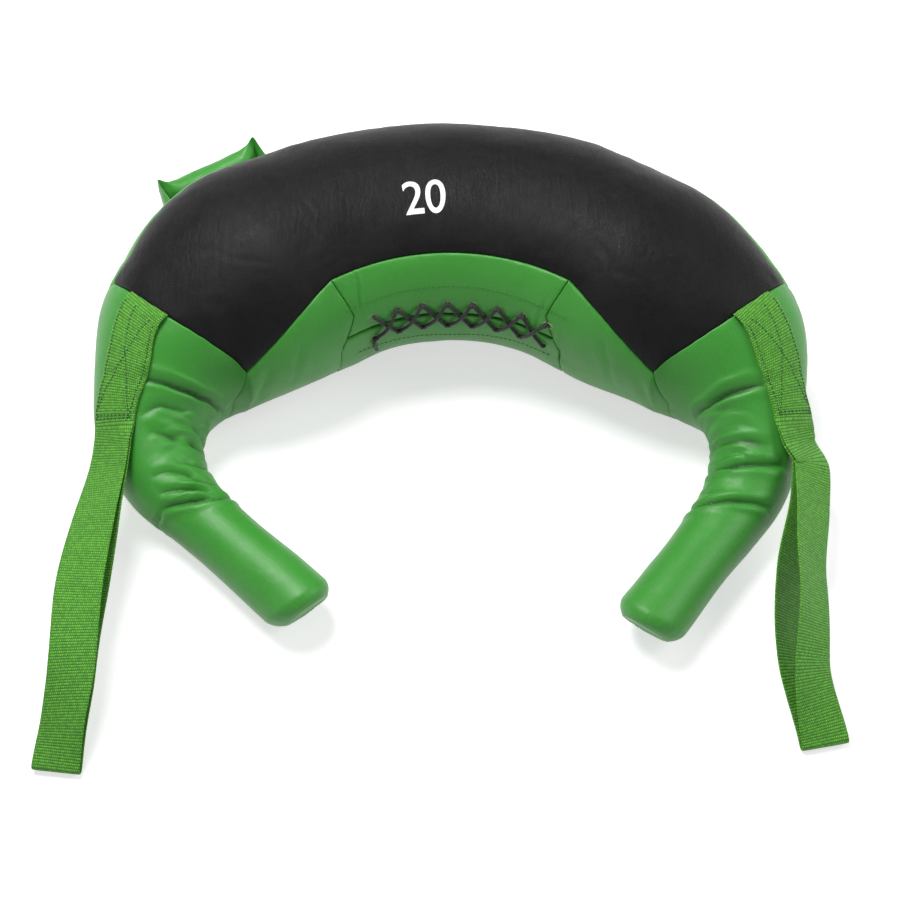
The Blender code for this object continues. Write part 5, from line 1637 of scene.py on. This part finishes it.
def surface_row(surface, pitch):
    """A row of threads on a surface, given as a function of the height above it."""
    points = surface(0.0)
    return thread_row(points, unit(surface(0.001) - points), pitch)


STITCHES = stitch_tree()
HEM_PITCH = 0.0042
HEM_STITCHES = {
    "upper_flap_stitches": ((-0.150, 21), (-0.05, 22), (0.05, 22), (0.163, 20)),
    "lower_flap_stitches": ((-0.140, -13), (0.0, -17), (0.150, -13)),
}
for name, line in HEM_STITCHES.items():
    stitched(name, [leather_row(line)], "bag", "leather_green", THREAD_GREEN)

# %% Tab stitches
TAB_TOP = TAB_LIFT + 2 * WEBBING + PLY_GAP
EDGE = WEBBING_WIDTH / 2 - 0.0030
TAB_FOOT, TAB_END = TAB_LENGTH - 0.004, (TAB_LENGTH - 0.0062, TAB_LENGTH - 0.0045)
TAB_LINES = (
    ((0.004, -EDGE), (TAB_FOOT, -EDGE)), ((0.001, EDGE), (TAB_FOOT, EDGE)),
    ((0.000, 0.30 * EDGE), (0.030, 0.16 * EDGE)), ((0.030, 0.16 * EDGE), (0.066, -0.9 * EDGE)),
    ((0.002, -0.75 * EDGE), (0.034, 0.10 * EDGE)), ((0.034, 0.10 * EDGE), (0.064, 0.9 * EDGE)),
    *(((run, -EDGE), (run, EDGE)) for run in TAB_END),
)
SEWN_PITCH = 0.0036


def tab_row(side, start, end):
    run, across = (np.linspace(start[k], end[k], 60) for k in (0, 1))
    return surface_row(lambda lift: tab_surface(side, run, across, TAB_TOP + lift), SEWN_PITCH)


for side in SIDES:
    rows = [tab_row(side, *line) for line in TAB_LINES]
    stitched(f"{side}_tab_stitches", rows, "bag", "webbing_green", THREAD_DARK, 0.0028, 0.0006)

# %% Handle stitches
INSET, ROLL_PITCH = 0.0042, 0.0040


def foot_rows(side, way):
    """A box of threads with a cross in it, as sewn on a foot."""
    long, wide = FOOT_LENGTH / 2 - INSET, 1 - 2 * INSET / FOOT_WIDTH
    corners = ((-long, -wide), (long, -wide), (long, wide), (-long, wide))
    rows = []
    for k, m in ((0, 1), (1, 2), (2, 3), (3, 0), (0, 2), (1, 3)):
        along, share = (np.linspace(corners[k][n], corners[m][n], 40) for n in (0, 1))
        rows.append(
            surface_row(lambda lift: foot_surface(side, way, along, share, FOOT_TOP + lift), SEWN_PITCH)
        )
    return rows


for side in SIDES:
    rows = foot_rows(side, -1) + foot_rows(side, 1)
    stitched(f"{side}_foot_stitches", rows, "bag", "leather_green", THREAD_GREEN, 0.0027)
    surface, out = handle_surface(side)
    skip = len(surface) // 4
    beside = [HANDLE_SIDES * 3 // 4 + offset for offset in (-3, 3)]
    rows = [thread_row(surface[skip:-skip, k], out[skip:-skip, k], ROLL_PITCH) for k in beside]
    stitched(f"{side}_handle_stitches", rows, f"{side}_handle", "leather_green", THREAD_GREEN)

# %% [markdown]
# The weight is printed on the black panel. A text object gives the numeral, which is cut into
# small faces so that it can lie on the curved leather like ink.

# %% Numeral
NUMERAL, NUMERAL_SIZE = "20", (0.036, 0.030)
NUMERAL_START, NUMERAL_BASE, NUMERAL_MIDDLE = -0.047, math.radians(60), math.radians(68)
INK, INK_LIFT = 0.00008, 0.00003


def flat_numeral():
    """The numeral as a thin closed mesh of small faces, one unit wide and one high."""
    text = bpy.data.curves.new("numeral", "FONT")
    text.body, text.extrude, text.offset, text.resolution_u = NUMERAL, 0.05, 0.006, 8
    made = add_object("numeral", text)
    graph = bpy.context.evaluated_depsgraph_get()
    mesh = bpy.data.meshes.new_from_object(made.evaluated_get(graph))
    bpy.data.objects.remove(made)
    work = bmesh.new()
    work.from_mesh(mesh)
    bmesh.ops.remove_doubles(work, verts=work.verts, dist=1e-5)
    spot = np.array([vertex.co for vertex in work.verts])
    low, high = spot.min(0), spot.max(0)
    for axis, steps in ((0, 24), (1, 20)):
        direction = Vector((axis == 0, axis == 1, 0))
        for place in np.linspace(low[axis], high[axis], steps + 1)[1:-1]:
            everything = work.verts[:] + work.edges[:] + work.faces[:]
            bmesh.ops.bisect_plane(work, geom=everything, plane_co=direction * place, plane_no=direction)
    for vertex in work.verts:
        x, y, z = vertex.co
        vertex.co = ((x - low[0]) / (high[0] - low[0]), (y - low[1]) / (high[1] - low[1]), z)
    work.to_mesh(mesh)
    work.free()
    return mesh


mesh = flat_numeral()
spots = np.empty(len(mesh.vertices) * 3)
mesh.vertices.foreach_get("co", spots)
spots = spots.reshape(-1, 3)
angle = np.arccos(math.cos(NUMERAL_BASE) - spots[:, 1] * NUMERAL_SIZE[1] / CROWN_HALF_WIDTH)
scale = 1 - CROWN_HALF_WIDTH * math.cos(NUMERAL_MIDDLE) / CROWN_RADIUS
station = NUMERAL_START + spots[:, 0] * NUMERAL_SIZE[0] / scale
inked = leather(station, angle, INK * np.sign(spots[:, 2]) + INK_LIFT)
mesh.vertices.foreach_set("co", inked.ravel())
mesh.materials.clear()
mesh.materials.append(INK_WHITE)
finish(add_object("weight_numeral", mesh), "bag", "leather_black")

# %% [markdown]
# The last step is a plain studio: a pale floor that is white to the camera and keeps the bag's
# shadow, soft lamps, and one camera that looks down on the bag from the side of its grips.

# %% Floor, lamps and camera
FLOOR_REACH, FLOOR_GREY, FLOOR_GLOW = 6.0, 0.56, 0.62
HORIZON_LIGHT, WORLD_LIGHT = 0.72, 0.20
WHITE = (1.0, 1.0, 1.0, 1.0)


def backdrop_material():
    """Pale where light falls, and white where the camera looks past the shadow."""
    material, tree, shader = new_material("studio_floor", 0.9)
    shader.inputs["Base Color"].default_value = (FLOOR_GREY, FLOOR_GREY, FLOOR_GREY, 1.0)
    shader.inputs["Emission Color"].default_value = WHITE
    path = add_node(tree, "ShaderNodeLightPath")
    seen = maths(tree, "MAXIMUM", path.outputs["Is Camera Ray"], path.outputs["Is Glossy Ray"])
    seen = maths(tree, "MAXIMUM", seen, path.outputs["Is Transmission Ray"])
    glow = maths(tree, "MULTIPLY", seen, FLOOR_GLOW)
    tree.links.new(glow, shader.inputs["Emission Strength"])
    return material


def add_floor():
    mesh = bpy.data.meshes.new("studio_floor")
    corners = [(FLOOR_REACH * x, FLOOR_REACH * y, 0) for x, y in ((-1, -1), (1, -1), (1, 1), (-1, 1))]
    mesh.from_pydata(corners, [], [(0, 1, 2, 3)])
    mesh.materials.append(backdrop_material())
    add_object("studio_floor", mesh)


def add_lamp(name, place, size, power):
    """A round soft lamp that shines at the middle of the bag."""
    lamp = bpy.data.lights.new(name, "AREA")
    lamp.shape, lamp.size, lamp.energy = "DISK", size, power
    made = add_object(name, lamp)
    made.location = place
    made.rotation_euler = (LIT - Vector(place)).to_track_quat("-Z", "Y").to_euler()


def add_world():
    """A dome that is white round the horizon and dim overhead, so that gloss has a shape."""
    world = bpy.data.worlds.new("studio")
    world.use_nodes = True
    tree = world.node_tree
    here = add_node(tree, "ShaderNodeTexCoord").outputs["Generated"]
    up = add_node(tree, "ShaderNodeSeparateXYZ", {0: here}).outputs["Z"]
    strength = ranged(tree, up, 0.10, 0.55, HORIZON_LIGHT, WORLD_LIGHT)
    tree.nodes["Background"].inputs["Color"].default_value = WHITE
    tree.links.new(strength, tree.nodes["Background"].inputs["Strength"])
    bpy.context.scene.world = world


LIT = Vector((0.0, 0.0, 0.05))
add_floor()
add_world()
add_lamp("high_lamp", (-0.50, 0.45, 1.8), 0.9, 41.0)
add_lamp("side_lamp", (1.6, 0.1, 1.2), 1.0, 14.0)
add_lamp("low_lamp", (-1.5, -1.0, 0.7), 1.2, 2.0)
lens = bpy.data.cameras.new("camera")
lens.lens, lens.sensor_width, lens.clip_end = 64.0, 36.0, 30.0
camera = add_object("camera", lens)
camera.location = CROWN + (0.0, -1.0096, 1.1796)
camera.rotation_euler = (math.radians(35), 0.0, 0.0)
bpy.context.scene.camera = camera
bpy.context.scene.view_settings.view_transform = "Standard"
